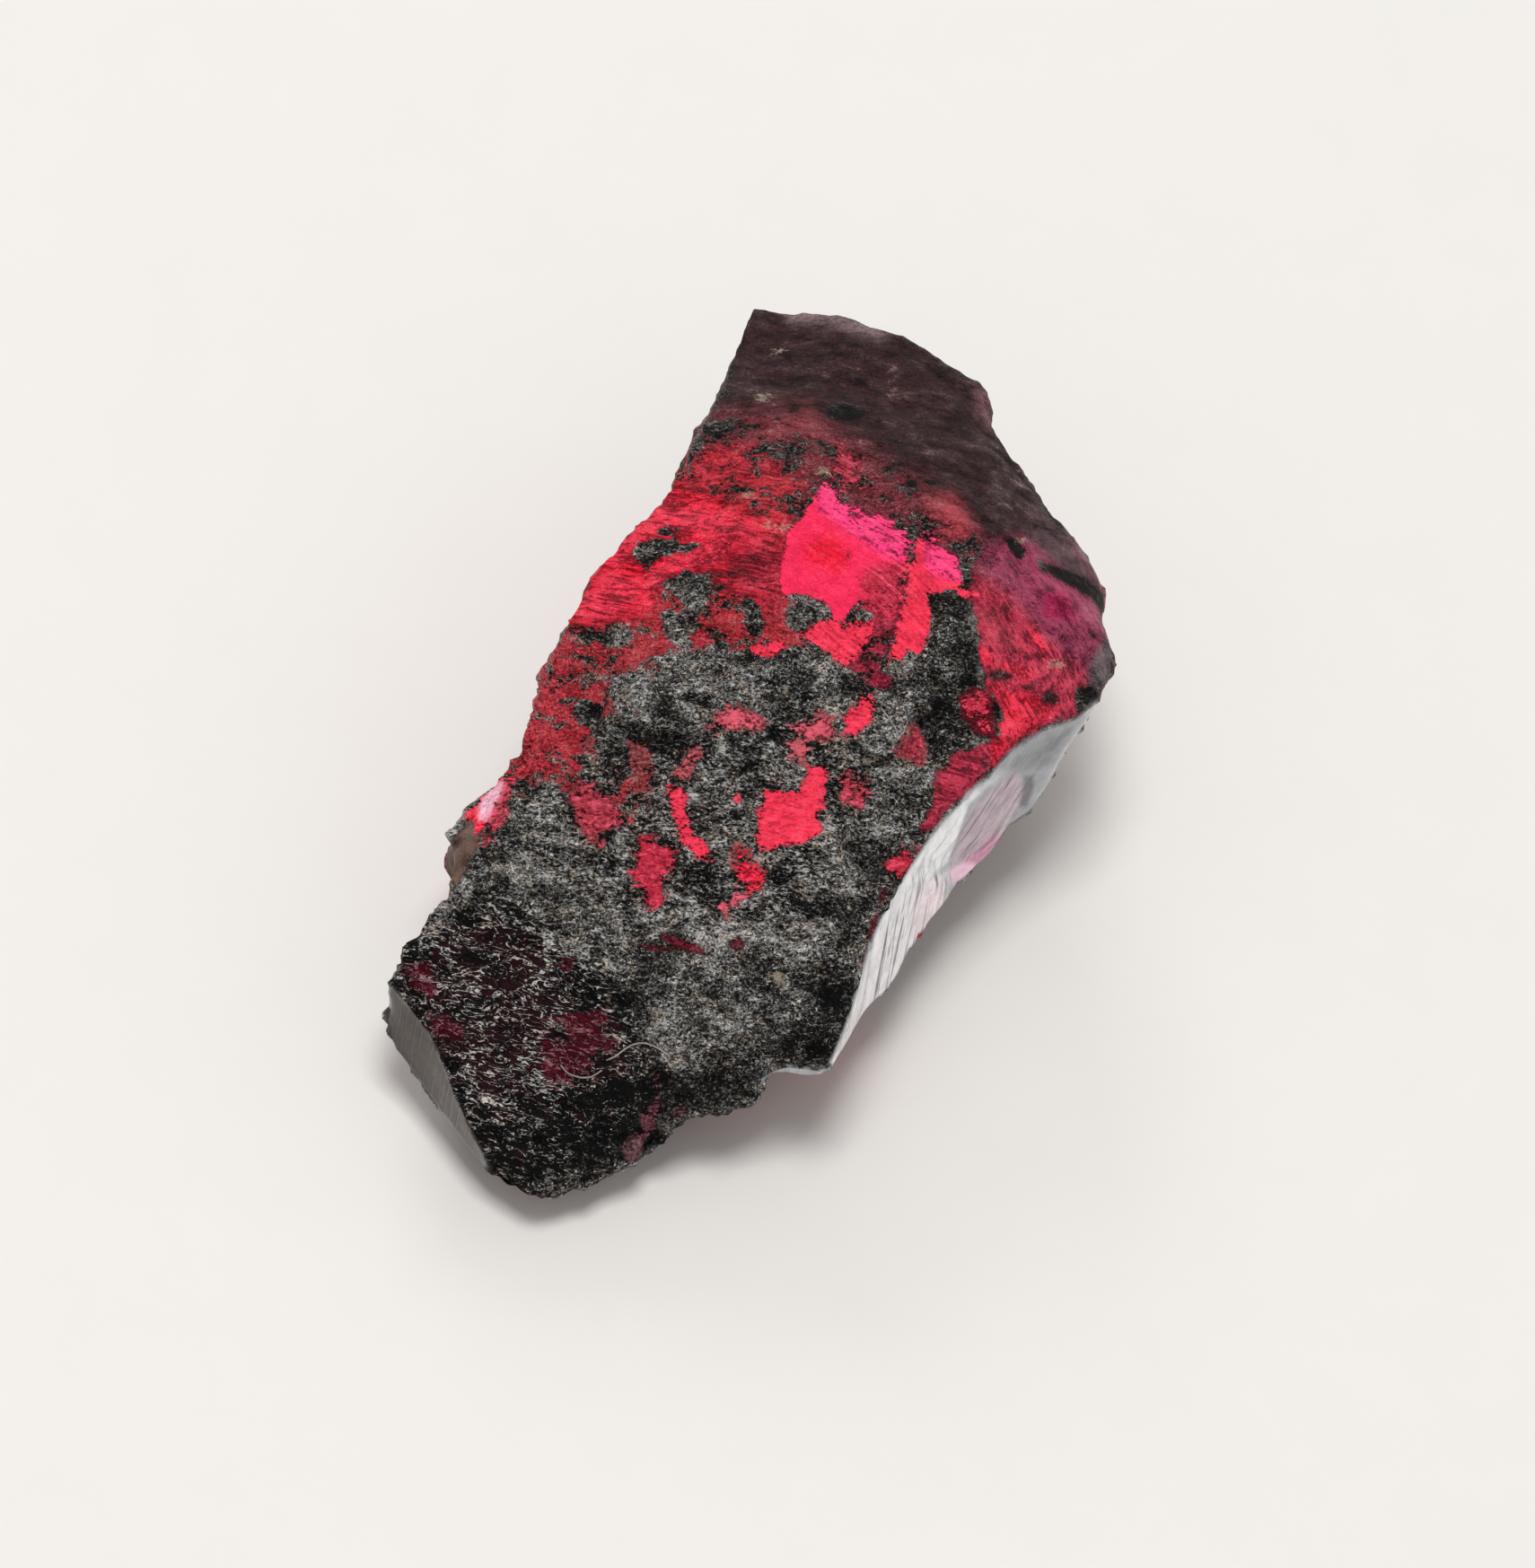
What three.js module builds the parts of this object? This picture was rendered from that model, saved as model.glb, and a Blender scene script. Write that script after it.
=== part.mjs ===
// Rough painite: one broken piece of a crystal, lying on its flattest side.
//
// Millimetres, +Z up. +Y runs along the stone to its far, upper end and +X to its right.
// The origin is at the middle of the stone's box, on the level it rests on.
//
// The stone is one closed body. Its form is drawn by two closed lines, the rim around the upper
// face and the belt below it, where the wall is widest. A box grid is laid on them: its top
// becomes the upper face, its sides the wall from rim to belt, and its bottom the underside.

import * as THREE from 'three';
import { ImprovedNoise } from 'three/addons/math/ImprovedNoise.js';
import { mergeVertices } from 'three/addons/utils/BufferGeometryUtils.js';

// ---- Grid ----

const FACES_ACROSS = 26;
const FACES_ALONG = 54;
const FACES_DOWN_WALL = 8;

// ---- Outline: rim and belt at matched stations, as [x, y, z] ----

// Near end to far end. The first seven stations carry the smooth cleavage facet on the left of
// the near end, and the belt swells at y = -1.9 into a knob that stands out past the rim.
const LEFT_WALL = [
  { rim: [-1.95, -5.30, 0.80], belt: [-1.95, -5.25, 0.60] },
  { rim: [-2.25, -5.05, 1.05], belt: [-2.30, -5.00, 0.70] },
  { rim: [-2.55, -4.70, 1.30], belt: [-2.70, -4.60, 0.75] },
  { rim: [-2.85, -4.35, 1.55], belt: [-3.05, -4.30, 0.85] },
  { rim: [-3.15, -4.15, 1.70], belt: [-3.30, -4.15, 1.00] },
  { rim: [-3.30, -4.05, 1.80], belt: [-3.40, -4.05, 1.20] },
  { rim: [-3.45, -3.95, 1.85], belt: [-3.45, -3.90, 1.40] },
  { rim: [-3.45, -3.75, 1.90], belt: [-3.40, -3.70, 1.30] },
  { rim: [-3.40, -3.50, 2.00], belt: [-3.30, -3.45, 1.25] },
  { rim: [-3.25, -3.35, 2.10], belt: [-3.15, -3.20, 1.25] },
  { rim: [-3.05, -3.05, 2.20], belt: [-3.00, -2.90, 1.30] },
  { rim: [-3.00, -2.80, 2.30], belt: [-2.95, -2.50, 1.35] },
  { rim: [-2.95, -2.40, 2.50], belt: [-3.15, -2.10, 1.45] },
  { rim: [-2.90, -2.15, 2.65], belt: [-3.20, -1.90, 1.60] },
  { rim: [-2.80, -1.90, 2.80], belt: [-2.98, -1.60, 1.80] },
  { rim: [-2.70, -1.40, 3.00], belt: [-2.70, -1.20, 1.85] },
  { rim: [-2.60, -0.95, 3.25], belt: [-2.60, -0.75, 1.75] },
  { rim: [-2.55, -0.60, 3.35], belt: [-2.50, -0.45, 1.65] },
  { rim: [-2.45, 0.05, 3.50], belt: [-2.45, 0.10, 1.60] },
  { rim: [-2.30, 0.60, 3.60], belt: [-2.35, 0.60, 1.60] },
  { rim: [-2.15, 1.10, 3.65], belt: [-2.25, 1.05, 1.60] },
  { rim: [-1.95, 1.45, 3.70], belt: [-2.10, 1.45, 1.55] },
  { rim: [-1.75, 1.80, 3.70], belt: [-1.95, 1.80, 1.50] },
  { rim: [-1.65, 2.20, 3.70], belt: [-1.85, 2.15, 1.50] },
  { rim: [-1.50, 2.50, 3.70], belt: [-1.75, 2.50, 1.45] },
  { rim: [-1.50, 2.90, 3.55], belt: [-1.70, 2.90, 1.40] },
  { rim: [-1.40, 3.70, 3.30], belt: [-1.55, 3.60, 1.40] },
  { rim: [-1.35, 4.20, 3.10], belt: [-1.40, 4.10, 1.40] },
  { rim: [-1.30, 4.80, 2.90], belt: [-1.30, 4.55, 1.40] },
  { rim: [-1.25, 5.40, 2.70], belt: [-1.15, 5.00, 1.45] },
];

// Left to right.
const FAR_WALL = [
  { rim: [-1.25, 5.40, 2.70], belt: [-1.15, 5.00, 1.45] },
  { rim: [-0.95, 5.40, 2.70], belt: [-0.90, 5.10, 1.45] },
  { rim: [-0.70, 5.50, 2.70], belt: [-0.65, 5.20, 1.45] },
  { rim: [-0.25, 5.55, 2.70], belt: [-0.20, 5.25, 1.40] },
  { rim: [0.20, 5.50, 2.70], belt: [0.20, 5.20, 1.35] },
  { rim: [0.65, 5.40, 2.70], belt: [0.60, 5.10, 1.35] },
  { rim: [1.05, 5.20, 2.70], belt: [0.95, 4.90, 1.35] },
  { rim: [1.45, 5.05, 2.70], belt: [1.30, 4.70, 1.40] },
  { rim: [1.65, 4.75, 2.65], belt: [1.50, 4.40, 1.40] },
];

// Near end to far end. The long glassy cleavage facet runs from the near corner to the sharp
// corner at y = 0.95.
const RIGHT_WALL = [
  { rim: [1.45, -3.70, 1.95], belt: [1.50, -3.45, 1.60] },
  { rim: [1.50, -3.40, 2.15], belt: [1.60, -3.10, 1.45] },
  { rim: [1.60, -3.00, 2.40], belt: [1.70, -2.65, 1.35] },
  { rim: [1.55, -2.60, 2.55], belt: [1.80, -2.35, 1.30] },
  { rim: [1.65, -2.20, 2.70], belt: [1.90, -2.15, 1.30] },
  { rim: [1.75, -1.85, 2.85], belt: [2.00, -1.90, 1.30] },
  { rim: [1.90, -1.40, 3.00], belt: [2.10, -1.40, 1.35] },
  { rim: [2.05, -1.00, 3.10], belt: [2.30, -1.00, 1.40] },
  { rim: [2.25, -0.60, 3.15], belt: [2.40, -0.70, 1.45] },
  { rim: [2.55, -0.20, 3.20], belt: [2.55, -0.45, 1.50] },
  { rim: [2.75, 0.15, 3.25], belt: [2.70, -0.25, 1.60] },
  { rim: [3.00, 0.40, 3.30], belt: [2.80, 0.05, 1.70] },
  { rim: [3.35, 0.70, 3.25], belt: [3.00, 0.25, 1.80] },
  { rim: [3.45, 0.95, 3.20], belt: [3.15, 0.50, 1.95] },
  { rim: [3.50, 1.25, 3.10], belt: [3.15, 1.00, 1.75] },
  { rim: [3.50, 1.75, 3.00], belt: [3.15, 1.45, 1.70] },
  { rim: [3.30, 2.15, 2.95], belt: [3.00, 1.85, 1.65] },
  { rim: [3.25, 2.55, 2.95], belt: [2.90, 2.20, 1.60] },
  { rim: [2.95, 2.95, 2.90], belt: [2.60, 2.60, 1.55] },
  { rim: [2.60, 3.30, 2.85], belt: [2.35, 2.95, 1.55] },
  { rim: [2.35, 3.65, 2.80], belt: [2.15, 3.30, 1.50] },
  { rim: [2.20, 3.85, 2.75], belt: [2.00, 3.50, 1.50] },
  { rim: [2.05, 3.95, 2.75], belt: [1.85, 3.65, 1.50] },
  { rim: [1.85, 4.30, 2.70], belt: [1.70, 3.95, 1.45] },
  { rim: [1.65, 4.55, 2.70], belt: [1.55, 4.20, 1.40] },
  { rim: [1.65, 4.75, 2.65], belt: [1.50, 4.40, 1.40] },
];

// Left to right. A narrow glassy step lies between the last four stations.
const NEAR_WALL = [
  { rim: [-1.95, -5.30, 0.80], belt: [-1.95, -5.25, 0.60] },
  { rim: [-1.70, -5.40, 0.70], belt: [-1.70, -5.30, 0.50] },
  { rim: [-1.35, -5.45, 0.65], belt: [-1.35, -5.25, 0.45] },
  { rim: [-1.05, -5.25, 0.65], belt: [-1.00, -5.05, 0.45] },
  { rim: [-0.75, -5.05, 0.65], belt: [-0.75, -4.85, 0.45] },
  { rim: [-0.55, -4.80, 0.70], belt: [-0.55, -4.60, 0.50] },
  { rim: [-0.45, -4.75, 0.70], belt: [-0.40, -4.55, 0.50] },
  { rim: [-0.30, -4.60, 0.75], belt: [-0.25, -4.40, 0.50] },
  { rim: [-0.05, -4.40, 0.90], belt: [-0.05, -4.20, 0.60] },
  { rim: [0.10, -4.20, 1.05], belt: [0.10, -4.00, 0.75] },
  { rim: [0.25, -4.15, 1.15], belt: [0.25, -3.90, 0.85] },
  { rim: [0.50, -4.10, 1.20], belt: [0.50, -3.85, 0.90] },
  { rim: [0.70, -4.00, 1.35], belt: [0.70, -3.75, 1.05] },
  { rim: [0.80, -3.90, 1.65], belt: [0.80, -3.80, 1.50] },
  { rim: [0.95, -3.80, 1.75], belt: [0.95, -3.75, 1.60] },
  { rim: [1.20, -3.80, 1.80], belt: [1.20, -3.75, 1.60] },
  { rim: [1.40, -3.80, 1.85], belt: [1.40, -3.70, 1.65] },
  { rim: [1.45, -3.70, 1.95], belt: [1.50, -3.45, 1.60] },
];

// ---- Upper face ----

// Two broad planes meet over a rounded ridge: the near one rises away from the near end, and
// the far one falls again to the far end. Each plane is z = height + slope * (y - at).
const NEAR_PLANE = { height: 4.22, slope: 0.50, at: 1.0 };
const FAR_PLANE = { height: 3.50, slope: -0.48, at: 3.75 };
const RIDGE_ROUNDING = 1.0;
const END_ROUNDING = 0.35;

// Two steeper facets cut the near end off: z = height + slopeX * (x - x0) + slopeY * (y - y0).
const END_FACET = { x0: -0.50, y0: -3.95, height: 1.75, slopeX: -0.37, slopeY: 1.44 };
const TIP_FACET = { x0: -1.35, y0: -5.45, height: 0.65, slopeX: -0.80, slopeY: 1.00 };

// How far in from an edge the upper face still bends to meet the rim, as a share of the grid.
const SIDE_BEND = 0.5;
const END_BEND = 0.2;

// Lumps (height above 0) and hollows (below 0), with radii along and across their own axis.
const LUMPS = [
  { x: -1.30, y: -0.75, height: 0.22, long: 0.50, wide: 0.35, turn: 10 },
  { x: -1.10, y: -1.20, height: -0.12, long: 0.45, wide: 0.25, turn: 10 },
  { x: -0.20, y: -0.55, height: 0.12, long: 0.70, wide: 0.40, turn: 15 },
  { x: 1.10, y: -0.20, height: 0.10, long: 0.60, wide: 0.35, turn: 40 },
  { x: 0.05, y: -3.25, height: 0.14, long: 0.75, wide: 0.45, turn: 0 },
  { x: -1.20, y: 0.60, height: 0.10, long: 0.30, wide: 0.20, turn: -20 },
  { x: 1.80, y: 0.60, height: 0.10, long: 0.55, wide: 0.22, turn: 75 },
  { x: 1.30, y: -1.20, height: -0.10, long: 0.60, wide: 0.35, turn: 60 },
  { x: -2.20, y: -1.60, height: 0.08, long: 0.50, wide: 0.35, turn: 50 },
  { x: -2.30, y: -4.10, height: 0.10, long: 0.60, wide: 0.45, turn: -30 },
  { x: 0.40, y: 2.10, height: -0.10, long: 0.60, wide: 0.35, turn: 20 },
  { x: 2.60, y: 1.50, height: 0.12, long: 0.60, wide: 0.40, turn: 60 },
  { x: -0.60, y: 3.30, height: 0.10, long: 0.55, wide: 0.35, turn: 30 },
  { x: 0.80, y: 4.20, height: -0.08, long: 0.50, wide: 0.30, turn: -20 },
];

// Ledges: the ground left of the line from start to end stands higher, and fades over its reach.
const LEDGES = [
  { start: [0.75, 0.30], end: [-0.60, 0.05], height: 0.14, reach: 1.3 },
  { start: [-0.60, 0.05], end: [-1.95, -0.40], height: 0.14, reach: 1.3 },
  { start: [0.45, -3.60], end: [0.60, -2.30], height: 0.12, reach: 0.9 },
  { start: [-0.90, 2.90], end: [-1.50, 1.70], height: 0.10, reach: 0.8 },
];
const LEDGE_RISE = 0.2;

// A groove runs across the near end, from the left rim to the steep facet.
const GROOVE = { points: [[-3.00, -3.10], [-1.75, -3.30], [-0.30, -3.95]], depth: 0.14, width: 0.22 };

// ---- Underside ----

// A flat break that the stone rests on, in grid shares, and the slope from it up to the belt.
const FLAT = { acrossFrom: 0.26, acrossTo: 0.78, alongFrom: 0.26, alongTo: 0.84 };

// ---- Roughness of the broken skin: octaves of noise, as wavelength and swing ----

const SKIN_OCTAVES = [
  { wavelength: 1.90, swing: 0.110 },
  { wavelength: 0.85, swing: 0.070 },
  { wavelength: 0.42, swing: 0.035 },
];
const FACET_ROUGHNESS = 0.06;
const RIM_ROUGHNESS = 0.35;

// Broken ledges on the walls: noise drawn out along the wall, with its swing in and out.
const WALL_LEDGES = { length: 1.4, height: 0.65, swing: 0.34 };

// Where the smooth facets lie, as shares along their walls.
const LEFT_FACET_END = 0.20;
const RIGHT_FACET_END = 0.55;
const NEAR_FACET_START = 0.78;

const perlin = new ImprovedNoise();

// Smooth rise from 0 to 1 while value goes from low to high.
function rise(low, high, value) {
  return THREE.MathUtils.smoothstep(value, low, high);
}

// The lower of two heights, with the corner between them rounded.
function roundedMin(first, second, rounding) {
  const overlap = Math.max(rounding - Math.abs(first - second), 0) / rounding;
  return Math.min(first, second) - overlap * overlap * rounding / 4;
}

// One wall: smooth curves through its stations, read at a share of the rim's length.
function makeWall(stations) {
  const toPoints = (key) => stations.map((station) => new THREE.Vector3(...station[key]));
  const rim = new THREE.CatmullRomCurve3(toPoints('rim'), false, 'centripetal');
  const belt = new THREE.CatmullRomCurve3(toPoints('belt'), false, 'centripetal');
  return (share) => {
    const t = rim.getUtoTmapping(share);
    return { rim: rim.getPoint(t), belt: belt.getPoint(t) };
  };
}

const leftWall = makeWall(LEFT_WALL);
const rightWall = makeWall(RIGHT_WALL);
const nearWall = makeWall(NEAR_WALL);
const farWall = makeWall(FAR_WALL);

// A patch that spans one of the two closed lines, at grid shares across and along.
function patch(line, across, along) {
  const left = leftWall(along)[line];
  const right = rightWall(along)[line];
  const near = nearWall(across)[line];
  const far = farWall(across)[line];
  const sides = left.clone().lerp(right, across);
  const ends = near.clone().lerp(far, along);
  const nearCorners = leftWall(0)[line].lerp(rightWall(0)[line], across);
  const farCorners = leftWall(1)[line].lerp(rightWall(1)[line], across);
  return sides.add(ends).sub(nearCorners.lerp(farCorners, along));
}

function facetHeight(facet, x, y) {
  return facet.height + facet.slopeX * (x - facet.x0) + facet.slopeY * (y - facet.y0);
}

function planeHeight(plane, y) {
  return plane.height + plane.slope * (y - plane.at);
}

// The planes of the upper face, before it bends to the rim.
function upperPlanes(x, y) {
  const broad = roundedMin(planeHeight(NEAR_PLANE, y), planeHeight(FAR_PLANE, y), RIDGE_ROUNDING);
  const steep = Math.max(facetHeight(END_FACET, x, y), facetHeight(TIP_FACET, x, y));
  return roundedMin(broad, steep, END_ROUNDING);
}

function lumpHeight(lump, x, y) {
  const turn = THREE.MathUtils.degToRad(lump.turn);
  const dx = x - lump.x;
  const dy = y - lump.y;
  const along = (dx * Math.cos(turn) + dy * Math.sin(turn)) / lump.long;
  const across = (dy * Math.cos(turn) - dx * Math.sin(turn)) / lump.wide;
  return lump.height * Math.exp(-along * along - across * across);
}

function ledgeHeight(ledge, x, y) {
  const [startX, startY] = ledge.start;
  const dirX = ledge.end[0] - startX;
  const dirY = ledge.end[1] - startY;
  const length = Math.hypot(dirX, dirY);
  const along = ((x - startX) * dirX + (y - startY) * dirY) / length;
  const side = ((y - startY) * dirX - (x - startX) * dirY) / length;
  const ends = rise(-0.2, 0.1, along) * (1 - rise(length - 0.1, length + 0.2, along));
  const fading = Math.exp(-Math.max(side, 0) / ledge.reach);
  return ledge.height * ends * rise(-LEDGE_RISE, LEDGE_RISE, side) * fading;
}

function distanceToLine(points, x, y) {
  let nearest = Infinity;
  for (let i = 1; i < points.length; i += 1) {
    const [x0, y0] = points[i - 1];
    const dx = points[i][0] - x0;
    const dy = points[i][1] - y0;
    const share = THREE.MathUtils.clamp(((x - x0) * dx + (y - y0) * dy) / (dx * dx + dy * dy), 0, 1);
    nearest = Math.min(nearest, Math.hypot(x - x0 - share * dx, y - y0 - share * dy));
  }
  return nearest;
}

// Everything that stands on or is cut into the planes of the upper face.
function upperRelief(x, y) {
  let height = 0;
  for (const lump of LUMPS) height += lumpHeight(lump, x, y);
  for (const ledge of LEDGES) height += ledgeHeight(ledge, x, y);
  const fromGroove = distanceToLine(GROOVE.points, x, y) / GROOVE.width;
  return height - GROOVE.depth * Math.exp(-fromGroove * fromGroove);
}

// How strongly an edge still pulls, from 1 on it to 0 at the end of the bend.
function pull(distance, bend) {
  const left = Math.max(1 - distance / bend, 0);
  return left * left;
}

// The upper face between the left and right rims, before its ends are bent to theirs.
function upperBetweenSides(place, across, along) {
  const left = leftWall(along).rim;
  const right = rightWall(along).rim;
  const leftMiss = (left.z - upperPlanes(left.x, left.y)) * pull(across, SIDE_BEND);
  const rightMiss = (right.z - upperPlanes(right.x, right.y)) * pull(1 - across, SIDE_BEND);
  return upperPlanes(place.x, place.y) + leftMiss + rightMiss;
}

function upperPoint(across, along) {
  const place = patch('rim', across, along);
  const near = nearWall(across).rim;
  const far = farWall(across).rim;
  const nearMiss = near.z - upperBetweenSides(near, across, 0);
  const farMiss = far.z - upperBetweenSides(far, across, 1);
  const edge = Math.min(across, 1 - across, along, 1 - along);
  place.z = upperBetweenSides(place, across, along);
  place.z += nearMiss * pull(along, END_BEND) + farMiss * pull(1 - along, END_BEND);
  place.z += upperRelief(place.x, place.y) * rise(0, 0.06, edge);
  return place;
}

// The underside rises from its flat break to the belt all round.
function underPoint(across, along) {
  const place = patch('belt', across, along);
  const left = (FLAT.acrossFrom - across) / FLAT.acrossFrom;
  const right = (across - FLAT.acrossTo) / (1 - FLAT.acrossTo);
  const near = (FLAT.alongFrom - along) / FLAT.alongFrom;
  const far = (along - FLAT.alongTo) / (1 - FLAT.alongTo);
  place.z *= Math.max(left, right, near, far, 0);
  return place;
}

function wallAt(across, along) {
  if (across === 0) return leftWall(along);
  if (across === 1) return rightWall(along);
  if (along === 0) return nearWall(across);
  return farWall(across);
}

// How smooth the wall is: 1 on a cleavage facet, 0 on a broken face.
function facetShare(across, along) {
  if (across === 0) return 1 - rise(LEFT_FACET_END - 0.03, LEFT_FACET_END + 0.03, along);
  if (across === 1) return 1 - rise(RIGHT_FACET_END - 0.02, RIGHT_FACET_END + 0.02, along);
  if (along === 0) return rise(NEAR_FACET_START - 0.03, NEAR_FACET_START + 0.03, across);
  return 0;
}

function wallPoint(across, along, up) {
  const { rim, belt } = wallAt(across, along);
  const place = belt.lerp(rim, up);
  const outward = new THREE.Vector3(place.x, place.y * 0.6, 0).normalize();
  const { length, height, swing } = WALL_LEDGES;
  const ledge = perlin.noise(place.x / length, place.y / length, place.z / height);
  const share = Math.sin(Math.PI * up) * (1 - facetShare(across, along));
  return place.addScaledVector(outward, swing * ledge * share);
}

// Noise that moves a point sideways as well as up, so that the skin breaks in all directions.
function skinNoise(point) {
  const push = new THREE.Vector3();
  for (const octave of SKIN_OCTAVES) {
    const x = point.x / octave.wavelength;
    const y = point.y / octave.wavelength;
    const z = point.z / octave.wavelength;
    push.x += octave.swing * perlin.noise(x + 11.3, y, z);
    push.y += octave.swing * perlin.noise(x, y + 37.7, z);
    push.z += octave.swing * perlin.noise(x, y, z + 71.9);
  }
  return push;
}

// How much of the skin's roughness reaches a point: little on facets, less on the rim, and none
// on the flat break.
function skinShare(across, along, up, point) {
  const onRimOrBelt = Math.min(across, 1 - across, along, 1 - along) < 1e-6;
  const smooth = onRimOrBelt ? facetShare(across, along) : 0;
  const rough = THREE.MathUtils.lerp(1, FACET_ROUGHNESS, smooth);
  if (onRimOrBelt && (up === 0 || up === 1)) return rough * RIM_ROUGHNESS;
  return up === 0 ? rough * rise(0, 0.5, point.z) : rough;
}

function stonePoint(across, along, up) {
  let point;
  if (up === 1) point = upperPoint(across, along);
  else if (up === 0) point = underPoint(across, along);
  else point = wallPoint(across, along, up);
  return point.addScaledVector(skinNoise(point), skinShare(across, along, up, point));
}

// The grid's corners are read as shares, so that rounding in the box can't open a seam.
function share(value, steps) {
  return Math.round((value + 0.5) * steps) / steps;
}

// Each square of the grid is split along its shorter diagonal, which follows the relief better.
function splitAlongShorterDiagonals(geometry) {
  const corners = geometry.index.array;
  const place = (vertex) => new THREE.Vector3().fromBufferAttribute(geometry.attributes.position, vertex);
  for (let i = 0; i < corners.length; i += 6) {
    const [a, b, d, , c] = corners.slice(i, i + 6);
    if (place(a).distanceTo(place(c)) < place(b).distanceTo(place(d))) corners.set([a, b, c, a, c, d], i);
  }
}

function makeStone() {
  let geometry = new THREE.BoxGeometry(1, 1, 1, FACES_ACROSS, FACES_ALONG, FACES_DOWN_WALL);
  geometry.deleteAttribute('normal');
  geometry.deleteAttribute('uv');
  geometry = mergeVertices(geometry, 1e-5);
  const position = geometry.attributes.position;
  for (let i = 0; i < position.count; i += 1) {
    const across = share(position.getX(i), FACES_ACROSS);
    const along = share(position.getY(i), FACES_ALONG);
    const up = share(position.getZ(i), FACES_DOWN_WALL);
    const point = stonePoint(across, along, up);
    position.setXYZ(i, point.x, point.y, point.z);
  }
  splitAlongShorterDiagonals(geometry);
  geometry.computeBoundingBox();
  const middle = geometry.boundingBox.getCenter(new THREE.Vector3());
  geometry.translate(-middle.x, -middle.y, -geometry.boundingBox.min.z);
  geometry.computeVertexNormals();
  return geometry;
}

const darkSkin = new THREE.MeshStandardMaterial({ color: 0x3a1a1f, roughness: 0.55, metalness: 0 });

const stone = new THREE.Mesh(makeStone(), darkSkin);
stone.name = 'stone';

const group = new THREE.Group();
group.add(stone);

export default group;
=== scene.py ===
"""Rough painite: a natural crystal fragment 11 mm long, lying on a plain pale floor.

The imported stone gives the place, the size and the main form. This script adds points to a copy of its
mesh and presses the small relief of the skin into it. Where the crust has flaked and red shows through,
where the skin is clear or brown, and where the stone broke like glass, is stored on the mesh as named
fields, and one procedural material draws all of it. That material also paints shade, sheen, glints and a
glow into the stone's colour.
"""
import math

import bmesh
import bpy
import numpy as np
from mathutils import Matrix, Vector, noise
from mathutils.bvhtree import BVHTree


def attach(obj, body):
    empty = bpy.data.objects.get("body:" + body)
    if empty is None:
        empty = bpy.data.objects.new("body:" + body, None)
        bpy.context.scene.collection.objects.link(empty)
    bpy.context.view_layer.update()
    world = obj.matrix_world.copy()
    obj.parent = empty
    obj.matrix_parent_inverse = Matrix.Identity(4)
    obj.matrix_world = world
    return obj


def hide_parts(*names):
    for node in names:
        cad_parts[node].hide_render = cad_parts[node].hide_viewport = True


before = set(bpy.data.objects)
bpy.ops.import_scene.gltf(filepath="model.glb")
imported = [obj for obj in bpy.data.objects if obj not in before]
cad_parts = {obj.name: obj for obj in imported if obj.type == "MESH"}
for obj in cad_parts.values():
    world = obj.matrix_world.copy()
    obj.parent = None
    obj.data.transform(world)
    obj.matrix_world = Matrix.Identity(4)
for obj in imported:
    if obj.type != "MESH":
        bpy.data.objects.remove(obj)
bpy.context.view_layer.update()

MM = 0.001

# ---- line of sight and picture
PICTURE_SIZE = (1710, 1747)
PICTURE_MIDDLE = np.array((855.0, 873.5))
PIXELS_PER_MM = 100.0
ROLL = math.radians(13.0)
DIP = math.radians(56.0)
AIM = Vector((0.060, 0.956, 0.0))
LEVEL_RIGHT = Vector((1.0, 0.0, 0.0))
LEVEL_UP = Vector((0.0, math.sin(DIP), math.cos(DIP)))
FORWARD = Vector((0.0, math.cos(DIP), -math.sin(DIP)))
RIGHT = LEVEL_RIGHT * math.cos(ROLL) + LEVEL_UP * math.sin(ROLL)
UP = LEVEL_UP * math.cos(ROLL) - LEVEL_RIGHT * math.sin(ROLL)
LENS = 1000.0
SENSOR = 36.0

# ---- mesh and relief, mm
WELD = 0.0001
EXTRA_LEVELS = 2
SHARP_FROM = math.radians(24.0)
SHARP_TO = math.radians(48.0)
SHARPNESS = 0.85
FLOOR_ZONE = 0.03
RISE_SCALE = 0.06
# strength of the six kinds of relief
LUMP_DEPTH = 0.085
FOLD_DEPTH = 0.09
CREST_DEPTH = 0.10
GRIT_DEPTH = 0.026
HATCH_DEPTH = 0.022
PIT_DEPTH = 0.05
# how far the windows lie under the skin
WINDOW_DEPTH = 0.012

# ---- limits between which a zone fades in
# how much a face looks towards the picture, for the skin and for the glassy breaks
SKIN_FACING = (-0.35, -0.05)
WALL_FACING = (-0.26, -0.14)
# upright part of a wall's normal, negated
WALL_LEAN = (-0.62, -0.45)
# y and z of the far end's brown top, mm
FAR_END_Y = (3.2, 4.4)
FAR_END_Z = (0.9, 2.3)
# height from which the right glassy break shows, mm. It holds right of the picture column below
BREAK_FOOT = (1.00, 1.20)
BREAK_FOOT_FROM = 950.0
# picture columns of the steep fibres
STEEP_COLUMNS = (1050.0, 1110.0)
# picture rows of the painted highlight along the right break's rim, and its distance from the rim line in
# mm, negated
RIM_HIGHLIGHT_ROWS = (850.0, 900.0)
RIM_HIGHLIGHT_REACH = (-0.10, -0.05)
# picture columns of the left break, negated
LEFT_BREAK_COLUMNS = (-620.0, -600.0)
# depths in mm that stand for a place far outside, and for one on a hidden side
OUTSIDE = -9.0
NOT_SEEN = -0.5
# most that the fine grain and the relief fade on the seen side, and on the far end's hidden side
MOST_FADED = 0.9
HIDDEN_FADE = 0.5

# ---- material, floor and light
# mm
BUMP_DISTANCE = 0.036
# strength of the painted glow: emission in the red windows and the glassy breaks
WINDOW_PAINTED_GLOW = 0.22
STONE_IOR = 1.55
SPECULAR_LEVEL = 0.08
COAT_ROUGHNESS = 0.10
# half the floor's width, m
FLOOR_HALF = 0.6
SKY_STRENGTH = 0.42
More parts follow.
